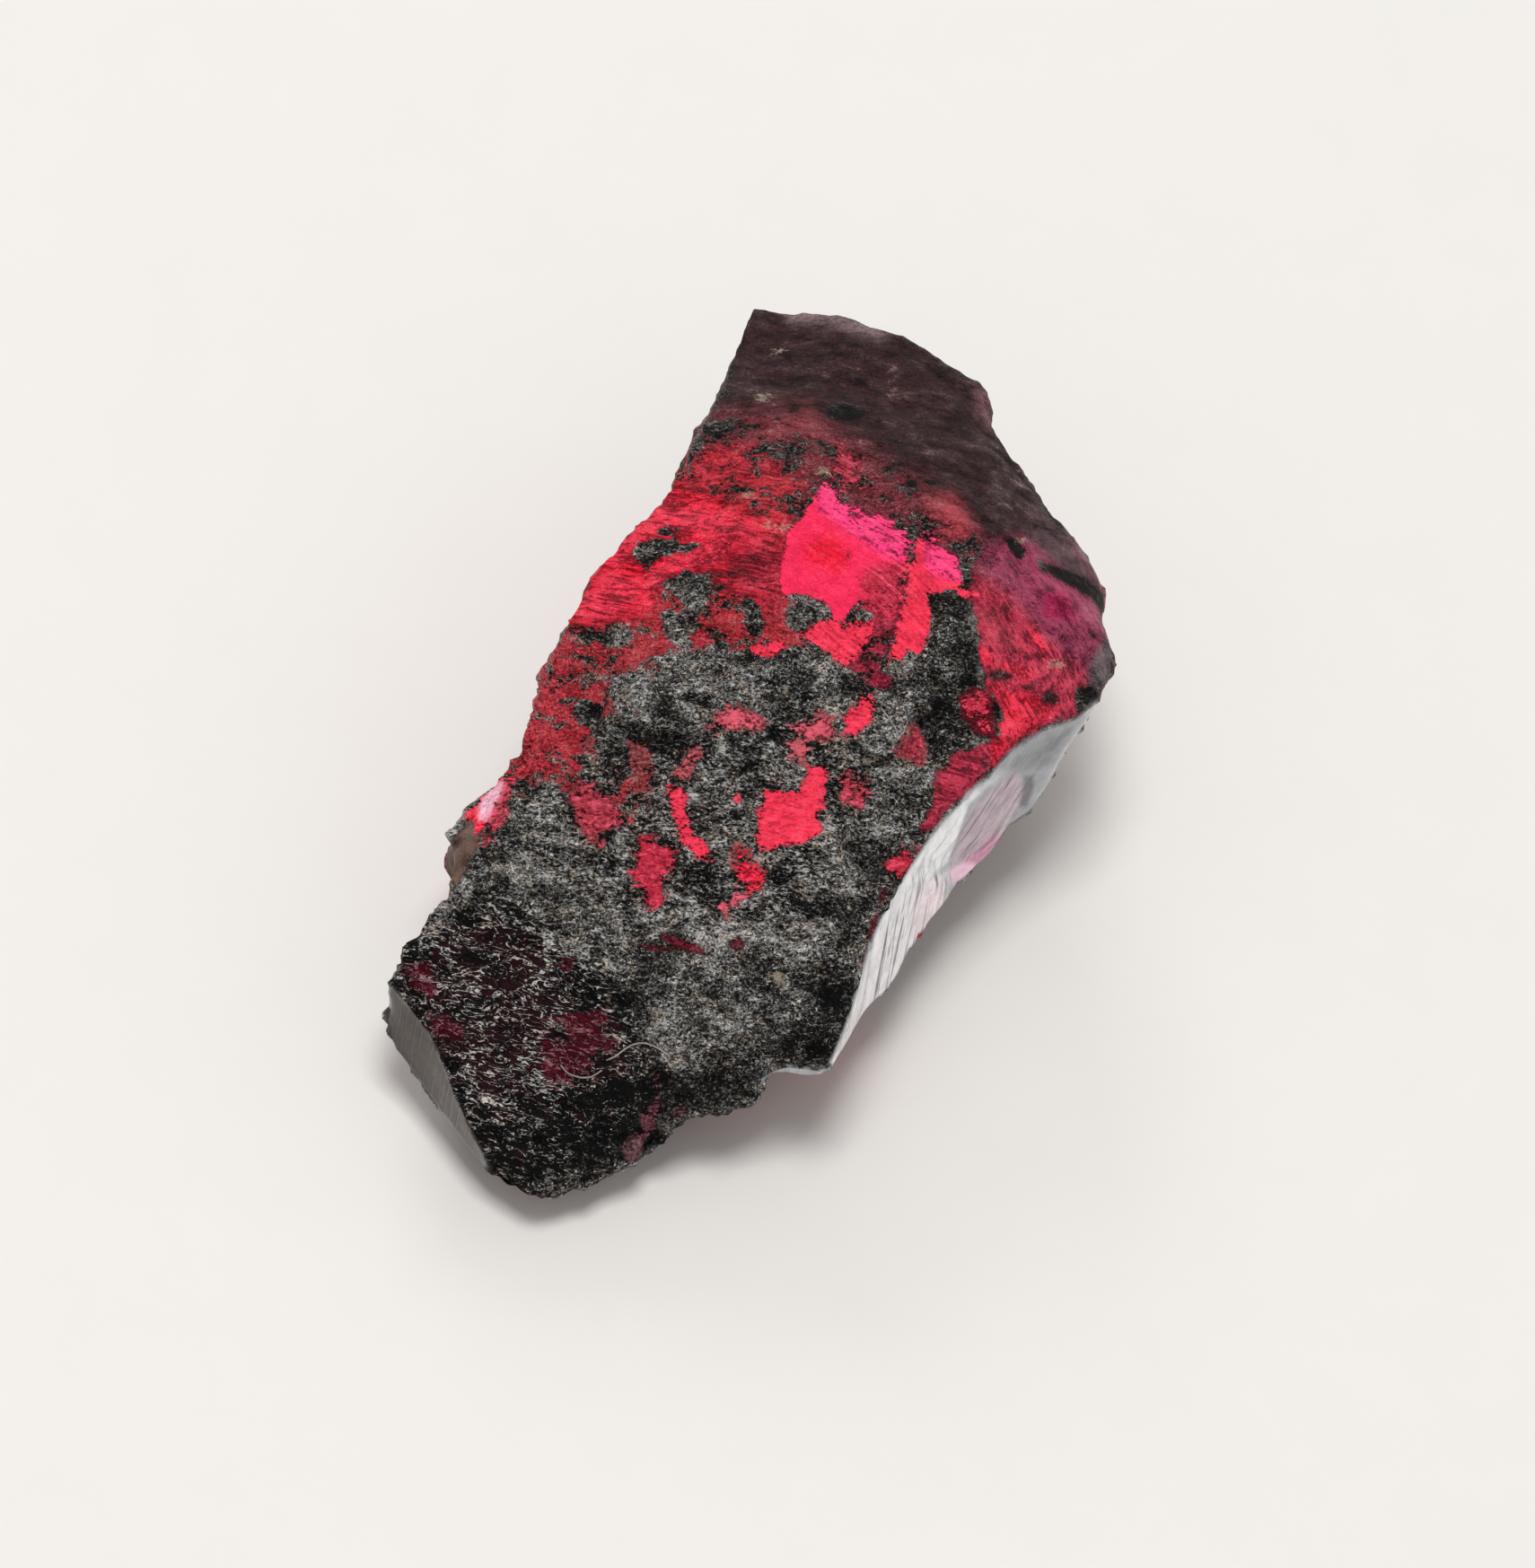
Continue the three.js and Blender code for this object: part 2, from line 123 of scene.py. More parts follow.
# name, place and size in mm, and power in W
LAMPS = [("top_light", (-15.0, -20.0, 190.0), 60.0, 0.185),
         ("back_light", (-60.0, 130.0, 95.0), 60.0, 0.045)]

# ---- lint fibres, mm and pixels
LINT_RADIUS = 0.010
LINT_SIDES = 6
LINT_STEP = 4.0
LINT_ROUNDINGS = 3
SIGHT_START = 50.0

# ---- grain directions
HATCH_TURN = math.radians(15.5)
SWEEP_TURN = math.radians(-2.0)
FOLD_TURN = math.radians(-14.0)
SLANT_TURN = math.radians(-26.0)
STEEP_TURN = math.radians(-44.0)
# turn of the glassy breaks' streaks in the picture, at their upper and lower ends
UPPER_STREAK_TURN = math.radians(57.0)
LOWER_STREAK_TURN = math.radians(79.0)
# picture rows between which that turn changes
STREAK_TURNING = (930.0, 990.0)


def srgb(red, green, blue):
    """A colour given on the usual 0 to 255 scale, as the linear values that a shader takes."""
    shares = [value / 255.0 for value in (red, green, blue)]
    linear = [s / 12.92 if s <= 0.04045 else ((s + 0.055) / 1.055) ** 2.4 for s in shares]
    return (*linear, 1.0)


SKIN_BLACK = srgb(10, 9, 9)
SKIN_DARK = srgb(34, 32, 30)
SKIN_GREY = srgb(88, 85, 81)
SKIN_LIGHT = srgb(128, 125, 121)
SKIN_PAINTED_GLINT = srgb(222, 220, 216)
STAIN_GLINT = srgb(176, 140, 138)
BROWN = srgb(54, 33, 34)
ROSY_BROWN = srgb(122, 84, 88)
FAR_GREY = srgb(128, 106, 108)
FAR_BROWN = srgb(84, 62, 66)
OLIVE_BROWN = srgb(102, 78, 68)
EAST_GREY = srgb(102, 88, 92)
DULL_RED = srgb(184, 92, 94)
MARGIN_RED = srgb(202, 46, 60)
MOTTLED_RED = srgb(124, 44, 54)
WINE = srgb(112, 16, 42)
DEEP_RED = srgb(104, 12, 30)
SILKY_RED = srgb(240, 26, 54)
SILK_GLINT = srgb(255, 104, 132)
HOT_RED = srgb(255, 56, 84)
CLEAR_RED = srgb(255, 46, 90)
HOT_PINK = srgb(255, 62, 128)
DIM_RED = srgb(194, 44, 64)
CRIMSON = srgb(202, 54, 82)
CRIMSON_SHADE = srgb(164, 40, 62)
ROSE = srgb(210, 92, 106)
CLARET = srgb(168, 58, 68)
PLUM = srgb(154, 54, 86)
MAGENTA = srgb(176, 24, 82)
VEIN_PINK = srgb(126, 70, 80)
CREAM = srgb(190, 172, 150)
MAROON = srgb(44, 14, 20)
STREAK_CRIMSON = srgb(122, 14, 38)
STREAK_PLUM = srgb(66, 34, 46)
HOT_GLINT = srgb(255, 84, 104)
# colours of the glassy breaks: the whites, pale greys and pinks are painted reflection and glow, and
# SHADE_GLASS is painted shade
GLASS_HIGHLIGHT = srgb(250, 250, 252)
GREY_GLASS = srgb(168, 170, 175)
BLUSH_GLASS = srgb(255, 236, 242)
SHADE_GLASS = srgb(134, 135, 140)
PALE_GLASS = srgb(246, 241, 245)
MID_GLASS = srgb(66, 56, 51)
DARK_GLASS = srgb(104, 100, 107)
EDGE_GLASS = srgb(50, 44, 44)
PLUM_GLASS = srgb(190, 168, 179)
MAGENTA_GLASS = srgb(218, 140, 176)
PINK_GLASS = srgb(255, 204, 230)
NOTCH_PINK = srgb(255, 200, 222)
# tint that the crust's colour is multiplied by
TAN_TINT = (1.20, 1.01, 0.82, 1.0)


def drawn(*numbers):
    """A line or outline through places in the picture, each written as column,row."""
    return list(zip(numbers[::2], numbers[1::2]))


# ---- outlines, in picture pixels
FAN = drawn(919,539, 936,559, 944,564, 963,573, 987,580, 1006,593, 1013,610, 1008,641, 1003,665, 996,688,
    977,686, 956,673, 941,688, 941,697, 929,690, 925,681, 917,669, 888,664, 871,665, 869,636, 875,610,
    879,592, 894,578, 908,554)
FAN_SILK = drawn(908,552, 919,535, 945,560, 975,570, 1003,586, 1018,606, 1008,628, 985,624, 960,604,
    936,588, 912,572)
FAN_CORE = drawn(892,606, 925,598, 948,622, 935,640, 900,630)
FAN_DIM = drawn(958,645, 975,632, 1010,628, 1010,660, 998,692, 970,692, 962,668)
FAN_TOP = drawn(935,500, 950,512, 958,540, 940,545, 925,524)
STRIP = drawn(1022,596, 1032,600, 1049,610, 1065,621, 1065,636, 1070,650, 1062,655, 1087,664, 1067,666,
    1046,661, 1032,660, 1036,688, 1032,719, 1024,728, 1010,726, 1006,738, 996,734, 987,742, 991,728,
    1000,695, 1006,672, 1008,650, 1012,636, 1017,619)
STRIP_HEAD = drawn(1026,594, 1052,604, 1072,620, 1078,650, 1052,648, 1030,634)
DASH = drawn(835,722, 845,717, 868,714, 876,720, 866,735, 850,731)
WEDGE = drawn(894,712, 908,697, 929,691, 941,697, 956,695, 972,695, 967,712, 962,724, 953,734, 941,740,
    929,734, 917,719, 901,714)
SPUR = drawn(937,798, 953,788, 962,777, 967,778, 972,794, 968,804, 960,809, 955,820, 943,818, 943,809)
SQUARE = drawn(853,879, 862,880, 872,883, 890,882, 899,865, 901,855, 920,854, 920,866, 917,884, 912,909,
    913,922, 907,930, 897,937, 882,939, 866,940, 859,946, 849,949, 843,940, 844,922, 847,903)
ARC = drawn(747,872, 757,879, 763,882, 764,903, 768,918, 776,930, 784,940, 793,953, 795,959, 788,961,
    780,953, 772,943, 763,940, 757,922, 751,907, 745,891)
ARC_TOP = drawn(768,843, 776,838, 778,842, 768,855, 765,865, 758,876, 753,872, 760,858)
SCAR = drawn(703,915, 715,930, 726,931, 734,941, 753,947, 749,968, 743,972, 738,984, 740,1007, 728,1009,
    722,1005, 715,995, 713,980, 705,972, 711,957, 711,932)
HOOK = drawn(820,947, 832,953, 834,965, 851,972, 851,982, 843,990, 832,993, 834,980, 824,978, 822,968)
HOOK_FOOT = drawn(822,999, 815,1007, 809,1017, 803,1013, 799,1005, 811,1003)
CAP = drawn(799,801, 803,795, 812,790, 822,792, 835,800, 845,805, 848,812, 835,812, 825,805, 815,812,
    803,812, 795,815, 789,812)
DOT = drawn(816,888, 821,882, 827,885, 827,892, 820,894)
BUTTON = drawn(876,832, 884,824, 895,826, 899,838, 891,845, 880,843)
BRIDGE = drawn(884,810, 905,805, 910,798, 925,805, 928,815, 920,823, 905,822, 895,818)
CHIP = drawn(1014,812, 1021,812, 1023,824, 1026,840, 1022,849, 1008,846, 1000,838, 1012,822)
PAIR_LEFT = drawn(936,866, 948,862, 952,876, 946,890, 938,886)
PAIR_RIGHT = drawn(950,880, 962,872, 964,886, 956,898, 948,896)
SLIT = drawn(1086,774, 1093,773, 1097,784, 1099,800, 1099,814, 1093,814, 1090,798)
SLIT_TWIN = drawn(1072,786, 1078,776, 1084,780, 1084,792, 1078,797)
SLIT_GROUND = drawn(1064,776, 1084,764, 1104,776, 1108,822, 1086,822, 1068,800)
RIM_CHIP = drawn(985,958, 1000,948, 1018,945, 1014,962, 1002,980, 995,972)
LEFT_PATCH = drawn(636,880, 655,875, 672,885, 690,900, 697,915, 680,922, 672,940, 655,925, 640,905)
RIM_STREAK = drawn(560,870, 570,872, 568,895, 556,925, 543,938, 552,900)
RIM_STREAK_RIGHT = drawn(992,985, 985,1003, 973,1040, 962,1075, 958,1070, 966,1035, 975,1003, 985,980)

FAN_ZONE = drawn(860,480, 960,480, 1100,580, 1110,680, 1040,760, 940,760, 840,745, 825,710, 862,680,
    850,600)
LEFT_FIBRES = drawn(750,512, 800,508, 850,522, 880,560, 872,600, 866,660, 850,672, 800,655, 770,640,
    735,660, 722,690, 690,690, 620,700, 640,650, 665,610, 694,580, 719,555, 737,530)
LEFT_FIBRES_DIM = drawn(810,640, 830,600, 862,590, 874,600, 866,668, 840,670, 812,655)
LEFT_FIBRES_TOP = drawn(755,500, 840,500, 895,540, 885,575, 850,585, 800,560, 740,535)
RIGHT_RED = drawn(1082,655, 1120,660, 1150,700, 1190,735, 1226,770, 1222,785, 1190,800, 1150,818,
    1122,838, 1095,862, 1060,893, 1035,925, 1020,930, 1042,880, 1042,866, 1071,833, 1110,825, 1112,790,
    1096,765, 1092,730)
RIGHT_RED_HOT = drawn(1112,770, 1150,775, 1175,790, 1150,812, 1120,832, 1108,850, 1095,850, 1100,830,
    1118,812, 1116,792)
RIGHT_RED_BAND = drawn(1060,845, 1100,832, 1105,848, 1085,872, 1050,900, 1040,880)
PLUM_END = drawn(1088,610, 1140,600, 1190,604, 1232,660, 1236,725, 1222,770, 1180,745, 1140,690, 1095,660)
MAGENTA_SPOT = drawn(1160,664, 1178,660, 1192,670, 1192,688, 1178,696, 1162,686)
RIGHT_SHADE = drawn(1080,640, 1105,650, 1128,690, 1134,728, 1112,732, 1096,700, 1084,668)
RIGHT_DARKS = [
    drawn(1098,750, 1112,745, 1128,750, 1124,758, 1104,760),
    drawn(1158,772, 1168,768, 1178,776, 1174,787, 1160,786),
    drawn(1194,770, 1208,762, 1218,770, 1214,788, 1200,796, 1194,784),
    drawn(1138,764, 1152,762, 1150,770, 1138,772),
]
RIGHT_TONGUES = [
    drawn(1146,700, 1154,704, 1164,720, 1168,732, 1158,726, 1148,714),
    drawn(1112,738, 1132,740, 1150,750, 1148,760, 1130,756, 1112,748),
    drawn(1094,762, 1112,764, 1130,772, 1132,784, 1114,780, 1098,772),
    drawn(1122,782, 1142,784, 1162,794, 1156,802, 1136,800, 1122,792),
    drawn(1088,722, 1098,724, 1108,738, 1102,746, 1090,738),
    drawn(1112,802, 1126,802, 1138,812, 1128,824, 1114,820),
]
PLUM_RIM = drawn(1150,560, 1185,590, 1215,640, 1232,665, 1210,665, 1170,630, 1140,600)
EAST_RIM = drawn(1212,735, 1240,700, 1240,770, 1222,785, 1206,800)
SILK_TONGUE = drawn(722,646, 738,630, 765,618, 800,600, 822,596, 820,614, 800,630, 765,634, 742,646,
    728,660, 724,690, 716,672)
SILK_BRIGHT = drawn(690,575, 740,560, 800,568, 850,590, 845,612, 800,600, 750,590, 712,600, 700,620,
    640,680, 660,700, 700,680, 716,650, 680,640)
LEFT_MARGIN = drawn(600,705, 700,690, 752,700, 754,722, 735,745, 690,758, 685,800, 665,830, 668,880,
    700,850, 716,832, 728,850, 720,890, 690,905, 640,905, 600,880, 545,905, 555,850, 568,800, 586,750)
MOTTLED_BAND = drawn(765,470, 900,455, 960,500, 1060,560, 1095,620, 1085,668, 1000,700, 880,668, 868,600,
    840,530, 745,515)
ROSY_PATCH = drawn(1040,560, 1062,555, 1085,590, 1090,610, 1060,612, 1045,600)
DULL_MIDDLE = drawn(735,660, 800,650, 862,640, 872,668, 920,680, 900,720, 850,735, 780,728, 745,720,
    730,690)
RED_HAZE = drawn(940,690, 1000,640, 1010,700, 985,745, 1000,770, 960,770, 945,740)
FAR_END = drawn(835,335, 900,335, 1000,365, 1115,440, 1150,535, 1190,600, 1120,620, 1060,590, 960,520,
    880,500, 785,500, 805,430)
FAR_RIM = drawn(870,335, 940,342, 1000,365, 980,378, 930,362, 880,358)
FAR_KNOB = drawn(1085,440, 1100,430, 1112,455, 1104,475, 1090,465)
NEAR_BLUSH = drawn(628,1136, 650,1124, 672,1126, 670,1150, 656,1182, 640,1192, 612,1184, 618,1168,
    636,1160)
NEAR_HAZE = drawn(600,1150, 640,1105, 690,1112, 692,1180, 650,1220, 606,1208)
NEAR_STREAK = drawn(476,1125, 500,1128, 522,1140, 518,1160, 490,1158)
NEAR_KNOB = drawn(445,1065, 480,1050, 500,1075, 500,1110, 465,1118, 448,1100)
DARK_STREAK = drawn(736,1040, 752,1042, 772,1050, 790,1060, 770,1060, 748,1052)
NEAR_SPOT = drawn(620,1070, 632,1062, 648,1068, 640,1082, 624,1082)
LOW_STREAK = drawn(706,1051, 730,1050, 752,1057, 730,1060)
LOW_SPOT = drawn(813,1046, 824,1042, 830,1052, 822,1060, 814,1056)
ARC_HAZE = drawn(698,829, 712,826, 724,836, 722,862, 712,876, 700,872, 704,850)
BULGE = drawn(545,895, 520,918, 498,945, 496,968, 510,988, 527,960, 540,925)
NOTCH_GLOW = drawn(566,868, 556,892, 545,914, 536,912, 536,896, 548,878)
NOTCH_RIM = drawn(574,862, 560,892, 552,918, 536,926, 526,912, 530,888, 548,866)
VEIN_GROUND = drawn(700,1190, 850,1185, 840,1230, 760,1262, 700,1300)
VEIN = drawn(728,1190, 738,1194, 738,1224, 733,1248, 722,1268, 706,1288, 698,1272, 712,1250, 722,1228,
    726,1210)
VEIN_TWIN = drawn(750,1236, 768,1222, 776,1228, 760,1242)
VEIN_FOOT = drawn(696,1268, 712,1262, 718,1278, 704,1292, 694,1288)

CRUST_LEFT = drawn(703,615, 715,605, 740,600, 765,606, 785,612, 760,616, 740,624, 722,637, 710,628)
CRUST_SMALL = drawn(733,592, 745,588, 758,590, 757,600, 738,601)
CRUST_TWIN = drawn(736,652, 752,645, 765,638, 785,645, 790,660, 786,675, 778,686, 764,676, 752,664)
CRUST_LOW = drawn(736,684, 750,680, 762,694, 774,722, 758,724, 742,706)
CRUST_MID = drawn(825,668, 838,666, 848,680, 852,700, 842,714, 832,702)
CRUST_RIGHT = drawn(876,678, 894,674, 912,672, 924,686, 903,693, 896,705, 886,707, 877,697)
CRUST_DOT = drawn(946,683, 956,679, 970,686, 965,693, 946,691)
CRUST_PIN = drawn(938,619, 946,616, 950,621, 942,623)
CRUST_TALL = drawn(1040,664, 1062,660, 1080,680, 1088,735, 1086,765, 1100,790, 1106,815, 1070,828,
    1040,850, 1020,800, 1012,765, 1020,735, 1036,715, 1040,690)
CRUST_HALF = drawn(1068,628, 1078,622, 1082,650, 1074,656)
CRUST_MARGIN = drawn(676,705, 700,698, 708,712, 692,724, 678,720)
CRUST_TAN = drawn(638,790, 650,780, 664,784, 672,798, 662,812, 646,808)
CRUST_BLOB = drawn(670,830, 688,820, 702,834, 704,862, 692,874, 676,868, 668,848)
CRUST_TOP = drawn(920,455, 945,450, 962,458, 958,468, 940,472, 922,466)
CRUST_EDGE = drawn(1198,770, 1216,762, 1222,775, 1212,790, 1198,794)
CRUST_SLIT = drawn(1096,775, 1108,772, 1114,800, 1112,824, 1100,828, 1096,800)
CRUST_FAR = drawn(1118,600, 1130,602, 1142,614, 1135,626, 1124,618)
CRUST_EAST = drawn(1156,626, 1178,632, 1200,640, 1222,656, 1234,672, 1228,684, 1212,668, 1190,654,
    1170,642, 1156,636)

RIGHT_RIM = drawn(1219,783, 1196,803, 1156,817, 1121,839, 1102,865, 1081,882, 1065,900, 1048,917,
    1032,938, 1016,962, 1003,983, 987,1010, 976,1034, 965,1064, 957,1091, 947,1128, 936,1155, 925,1182)
GLOSS_RIGHT = RIGHT_RIM + drawn(940,1200, 990,1150, 1025,1105, 1060,1060, 1095,1005, 1125,980, 1155,950,
    1195,910, 1230,855, 1250,790)
LEFT_RIM = drawn(440,1097, 452,1112, 465,1122, 477,1135, 485,1155, 500,1190, 517,1230, 528,1255, 547,1297)
GLOSS_LEFT = LEFT_RIM + drawn(530,1315, 475,1272, 440,1220, 410,1185, 400,1140, 420,1090)
GLOSS_NEAR = drawn(850,1200, 856,1184, 880,1180, 918,1189, 915,1200, 880,1200)
GLASS_HIGHLIGHT_ZONE = drawn(1022,977, 1030,946, 1048,920, 1064,902, 1076,900, 1066,930, 1054,960, 1040,972)
GLASS_LOWER = drawn(1020,972, 1058,972, 1040,1030, 1005,1085, 960,1150, 925,1185, 950,1095, 975,1035,
    1000,985)
GLASS_LILAC = drawn(1128,862, 1142,872, 1132,905, 1112,936, 1090,962, 1064,972, 1058,958, 1070,925,
    1092,888)
GLASS_MAGENTA = drawn(1064,966, 1084,950, 1100,934, 1114,924, 1114,938, 1098,956, 1080,968)
GLASS_PINK = drawn(1056,968, 1074,961, 1086,962, 1080,976, 1060,984)
GLASS_BLUSH = drawn(1026,990, 1046,982, 1054,1000, 1036,1034, 1018,1050, 1016,1016)
GLASS_TIP = drawn(1140,866, 1150,864, 1150,880, 1143,898, 1134,900, 1137,882)
GLASS_SHADE = drawn(1110,852, 1150,828, 1190,806, 1205,812, 1170,850, 1130,866)
GLASS_FAR_TIP = drawn(1196,800, 1228,776, 1234,800, 1214,824, 1200,815)
LEFT_GLASS_EDGE = drawn(420,1090, 442,1096, 446,1150, 476,1205, 520,1265, 546,1300, 520,1305, 450,1230,
    410,1150)

WINDOW_GROUND = drawn(560,880, 700,830, 800,780, 960,780, 980,900, 920,1020, 800,1060, 700,1030, 600,960)
NEAR_GROUND = drawn(700,1040, 900,1030, 900,1200, 720,1220)
# painted sheen, glints and light on the skin of the plateau, the lobe and the slope
PLATEAU_PAINTED_SHEEN = drawn(700,1065, 780,1045, 850,1045, 880,1085, 868,1165, 800,1170, 740,1155, 700,1110)
LOBE_PAINTED_GLINTS = drawn(560,1190, 640,1185, 650,1215, 600,1230, 550,1220)
SLOPE_PAINTED_LIGHT = drawn(590,1030, 680,1010, 700,1060, 660,1100, 600,1080)
FAR_HALF = drawn(800,300, 1130,330, 1250,640, 1240,740, 1150,650, 1060,590, 960,500, 780,470)
RIGHT_CORNER = drawn(1060,640, 1250,600, 1250,800, 1100,880, 1080,760)
LOWER_LOBE = drawn(430,1060, 560,1000, 680,1090, 720,1180, 700,1260, 560,1330, 470,1200)
# painted shade on the skin of the lump, the near end and the right foot
LUMP_PAINTED_SHADE = drawn(700,795, 740,780, 770,800, 765,830, 735,835, 705,825)
NEAR_END_PAINTED_SHADE = drawn(540,1235, 600,1225, 680,1200, 760,1190, 850,1180, 850,1230, 760,1260, 640,1330,
    560,1320)
RIGHT_FOOT_PAINTED_SHADE = drawn(890,1120, 945,1090, 930,1180, 870,1185)

LINT = [
    drawn(626,1184, 634,1194, 650,1199, 664,1197, 672,1189),
    drawn(677,1179, 688,1175, 698,1165, 708,1160, 725,1160, 739,1168, 748,1175),
    drawn(981,790, 988,800, 994,808, 999,818),
]
# place of each pale fleck and its half width and half height
FLECKS = [(868, 391, 8, 4), (866, 588, 18, 4), (834, 552, 10, 4), (1175, 742, 11, 5), (868, 1088, 8, 10),
          (1136, 604, 5, 4), (874, 771, 8, 4), (962, 848, 9, 4), (848, 445, 8, 4), (915, 527, 9, 6)]

# ---- what each outline carries
# window outline, colour and how ragged and streaked it is
WINDOWS = [
    (FAN, CLEAR_RED, 0.10), (STRIP, HOT_RED, 0.35), (FAN_TOP, CLARET, 1.0), (DASH, HOT_RED, 0.6),
    (WEDGE, HOT_RED, 0.6), (SPUR, HOT_RED, 0.6), (SQUARE, HOT_RED, 0.5), (ARC, HOT_RED, 0.6),
    (ARC_TOP, DULL_RED, 1.0), (SCAR, DIM_RED, 0.8), (HOOK, SILKY_RED, 1.0),
    (HOOK_FOOT, ROSE, 1.0), (CAP, ROSE, 1.0), (DOT, HOT_GLINT, 0.3), (BUTTON, DULL_RED, 0.9),
    (BRIDGE, ROSE, 1.0), (CHIP, CLARET, 1.0), (PAIR_LEFT, CLARET, 1.0), (PAIR_RIGHT, CLARET, 1.0),
    (SLIT, DIM_RED, 0.7), (SLIT_TWIN, DIM_RED, 0.7), (RIM_CHIP, DIM_RED, 0.8), (LEFT_PATCH, CLARET, 1.0),
    (RIM_STREAK, CLARET, 0.9), (NOTCH_RIM, SILKY_RED, 0.9),
]
# outline, colour, raggedness and width of the soft edge in mm, laid over the windows. The notch's pale
# pink is a painted glow at the thin edge.
WINDOW_TINTS = [(FAN_SILK, HOT_PINK, 1.0, 0.06), (FAN_CORE, SILKY_RED, 0.3, 0.10),
                (FAN_DIM, DIM_RED, 1.0, 0.10), (STRIP_HEAD, HOT_PINK, 1.0, 0.05),
                (NOTCH_GLOW, NOTCH_PINK, 0.5, 0.04)]
CRUSTS = [CRUST_LEFT, CRUST_SMALL, CRUST_TWIN, CRUST_LOW, CRUST_MID, CRUST_RIGHT, CRUST_DOT, CRUST_PIN,
          CRUST_TALL, CRUST_HALF, CRUST_MARGIN, CRUST_TAN, CRUST_BLOB, CRUST_TOP, CRUST_EDGE, CRUST_SLIT,
          CRUST_FAR, CRUST_EAST]
# outline, colour, share of the skin that it takes, share of long fibres, width of its soft edge in mm
VEILS = [
    (FAR_END, BROWN, 0.95, 0.1, 0.30),
    (FAR_RIM, FAR_GREY, 0.95, 0.0, 0.10),
    (FAR_KNOB, ROSY_BROWN, 0.95, 0.0, 0.10),
    (MOTTLED_BAND, MOTTLED_RED, 0.58, 0.3, 0.25),
    (ROSY_PATCH, CLARET, 0.80, 0.2, 0.15),
    (LEFT_MARGIN, MARGIN_RED, 0.60, 0.1, 0.30),
    (DULL_MIDDLE, MARGIN_RED, 0.54, 0.1, 0.12),
    (RED_HAZE, CRIMSON, 0.82, 0.3, 0.12),
    (LEFT_FIBRES, SILKY_RED, 1.0, 1.0, 0.20),
    (LEFT_FIBRES_DIM, DIM_RED, 0.95, 0.8, 0.20),
    (LEFT_FIBRES_TOP, MARGIN_RED, 0.70, 0.7, 0.15),
    (SILK_BRIGHT, HOT_RED, 1.0, 0.9, 0.10),
    (SILK_TONGUE, HOT_RED, 1.0, 0.5, 0.04),
    (PLUM_END, PLUM, 0.84, 0.3, 0.15),
    (PLUM_RIM, FAR_BROWN, 0.90, 0.1, 0.12),
    (RIGHT_RED, CRIMSON, 0.90, 0.9, 0.10),
    (RIGHT_RED_HOT, SILKY_RED, 0.95, 0.9, 0.10),
    (RIGHT_RED_BAND, CRIMSON, 0.82, 0.9, 0.08),
    (MAGENTA_SPOT, MAGENTA, 1.0, 0.2, 0.08),
    (RIGHT_SHADE, CRIMSON_SHADE, 0.95, 0.9, 0.10),
    *[(outline, HOT_RED, 1.0, 0.9, 0.03) for outline in RIGHT_TONGUES],
    *[(outline, BROWN, 0.95, 0.0, 0.02) for outline in RIGHT_DARKS],
    (EAST_RIM, EAST_GREY, 0.90, 0.1, 0.06),
    (NEAR_HAZE, WINE, 0.42, 0.0, 0.20),
    (NEAR_BLUSH, WINE, 0.90, 0.0, 0.08),
    (NEAR_STREAK, WINE, 0.70, 0.0, 0.12),
    (NEAR_KNOB, WINE, 0.48, 0.0, 0.20),
    (DARK_STREAK, DEEP_RED, 0.90, 0.4, 0.04),
    (LOW_STREAK, DEEP_RED, 0.80, 0.4, 0.04),
    (LOW_SPOT, DEEP_RED, 0.80, 0.0, 0.04),
    (NEAR_SPOT, DEEP_RED, 0.62, 0.0, 0.08),
    (ARC_HAZE, DULL_RED, 0.72, 0.0, 0.12),
    (BULGE, OLIVE_BROWN, 0.95, 0.0, 0.03),
    (VEIN, VEIN_PINK, 0.66, 0.1, 0.08),
    (VEIN_TWIN, VEIN_PINK, 0.60, 0.1, 0.05),
    (SLIT_GROUND, DEEP_RED, 0.90, 0.3, 0.03),
    (RIM_STREAK_RIGHT, DEEP_RED, 0.60, 0.3, 0.06),
    (VEIN_FOOT, ROSY_BROWN, 0.95, 0.0, 0.06),
]
# outline, colour, share of streaks and width of the soft edge in mm
GLASS_TINTS = [
    (GLASS_SHADE, SHADE_GLASS, 0.0, 0.12), (GLASS_FAR_TIP, SHADE_GLASS, 0.1, 0.08),
    (GLASS_LILAC, PLUM_GLASS, 0.75, 0.06), (GLASS_LOWER, PALE_GLASS, 0.95, 0.05),
    (GLASS_HIGHLIGHT_ZONE, GLASS_HIGHLIGHT, 0.40, 0.02), (GLASS_MAGENTA, MAGENTA_GLASS, 0.5, 0.03),
    (GLASS_BLUSH, BLUSH_GLASS, 0.6, 0.08), (GLASS_PINK, PINK_GLASS, 0.1, 0.03),
    (GLASS_TIP, DARK_GLASS, 0.2, 0.03),
]
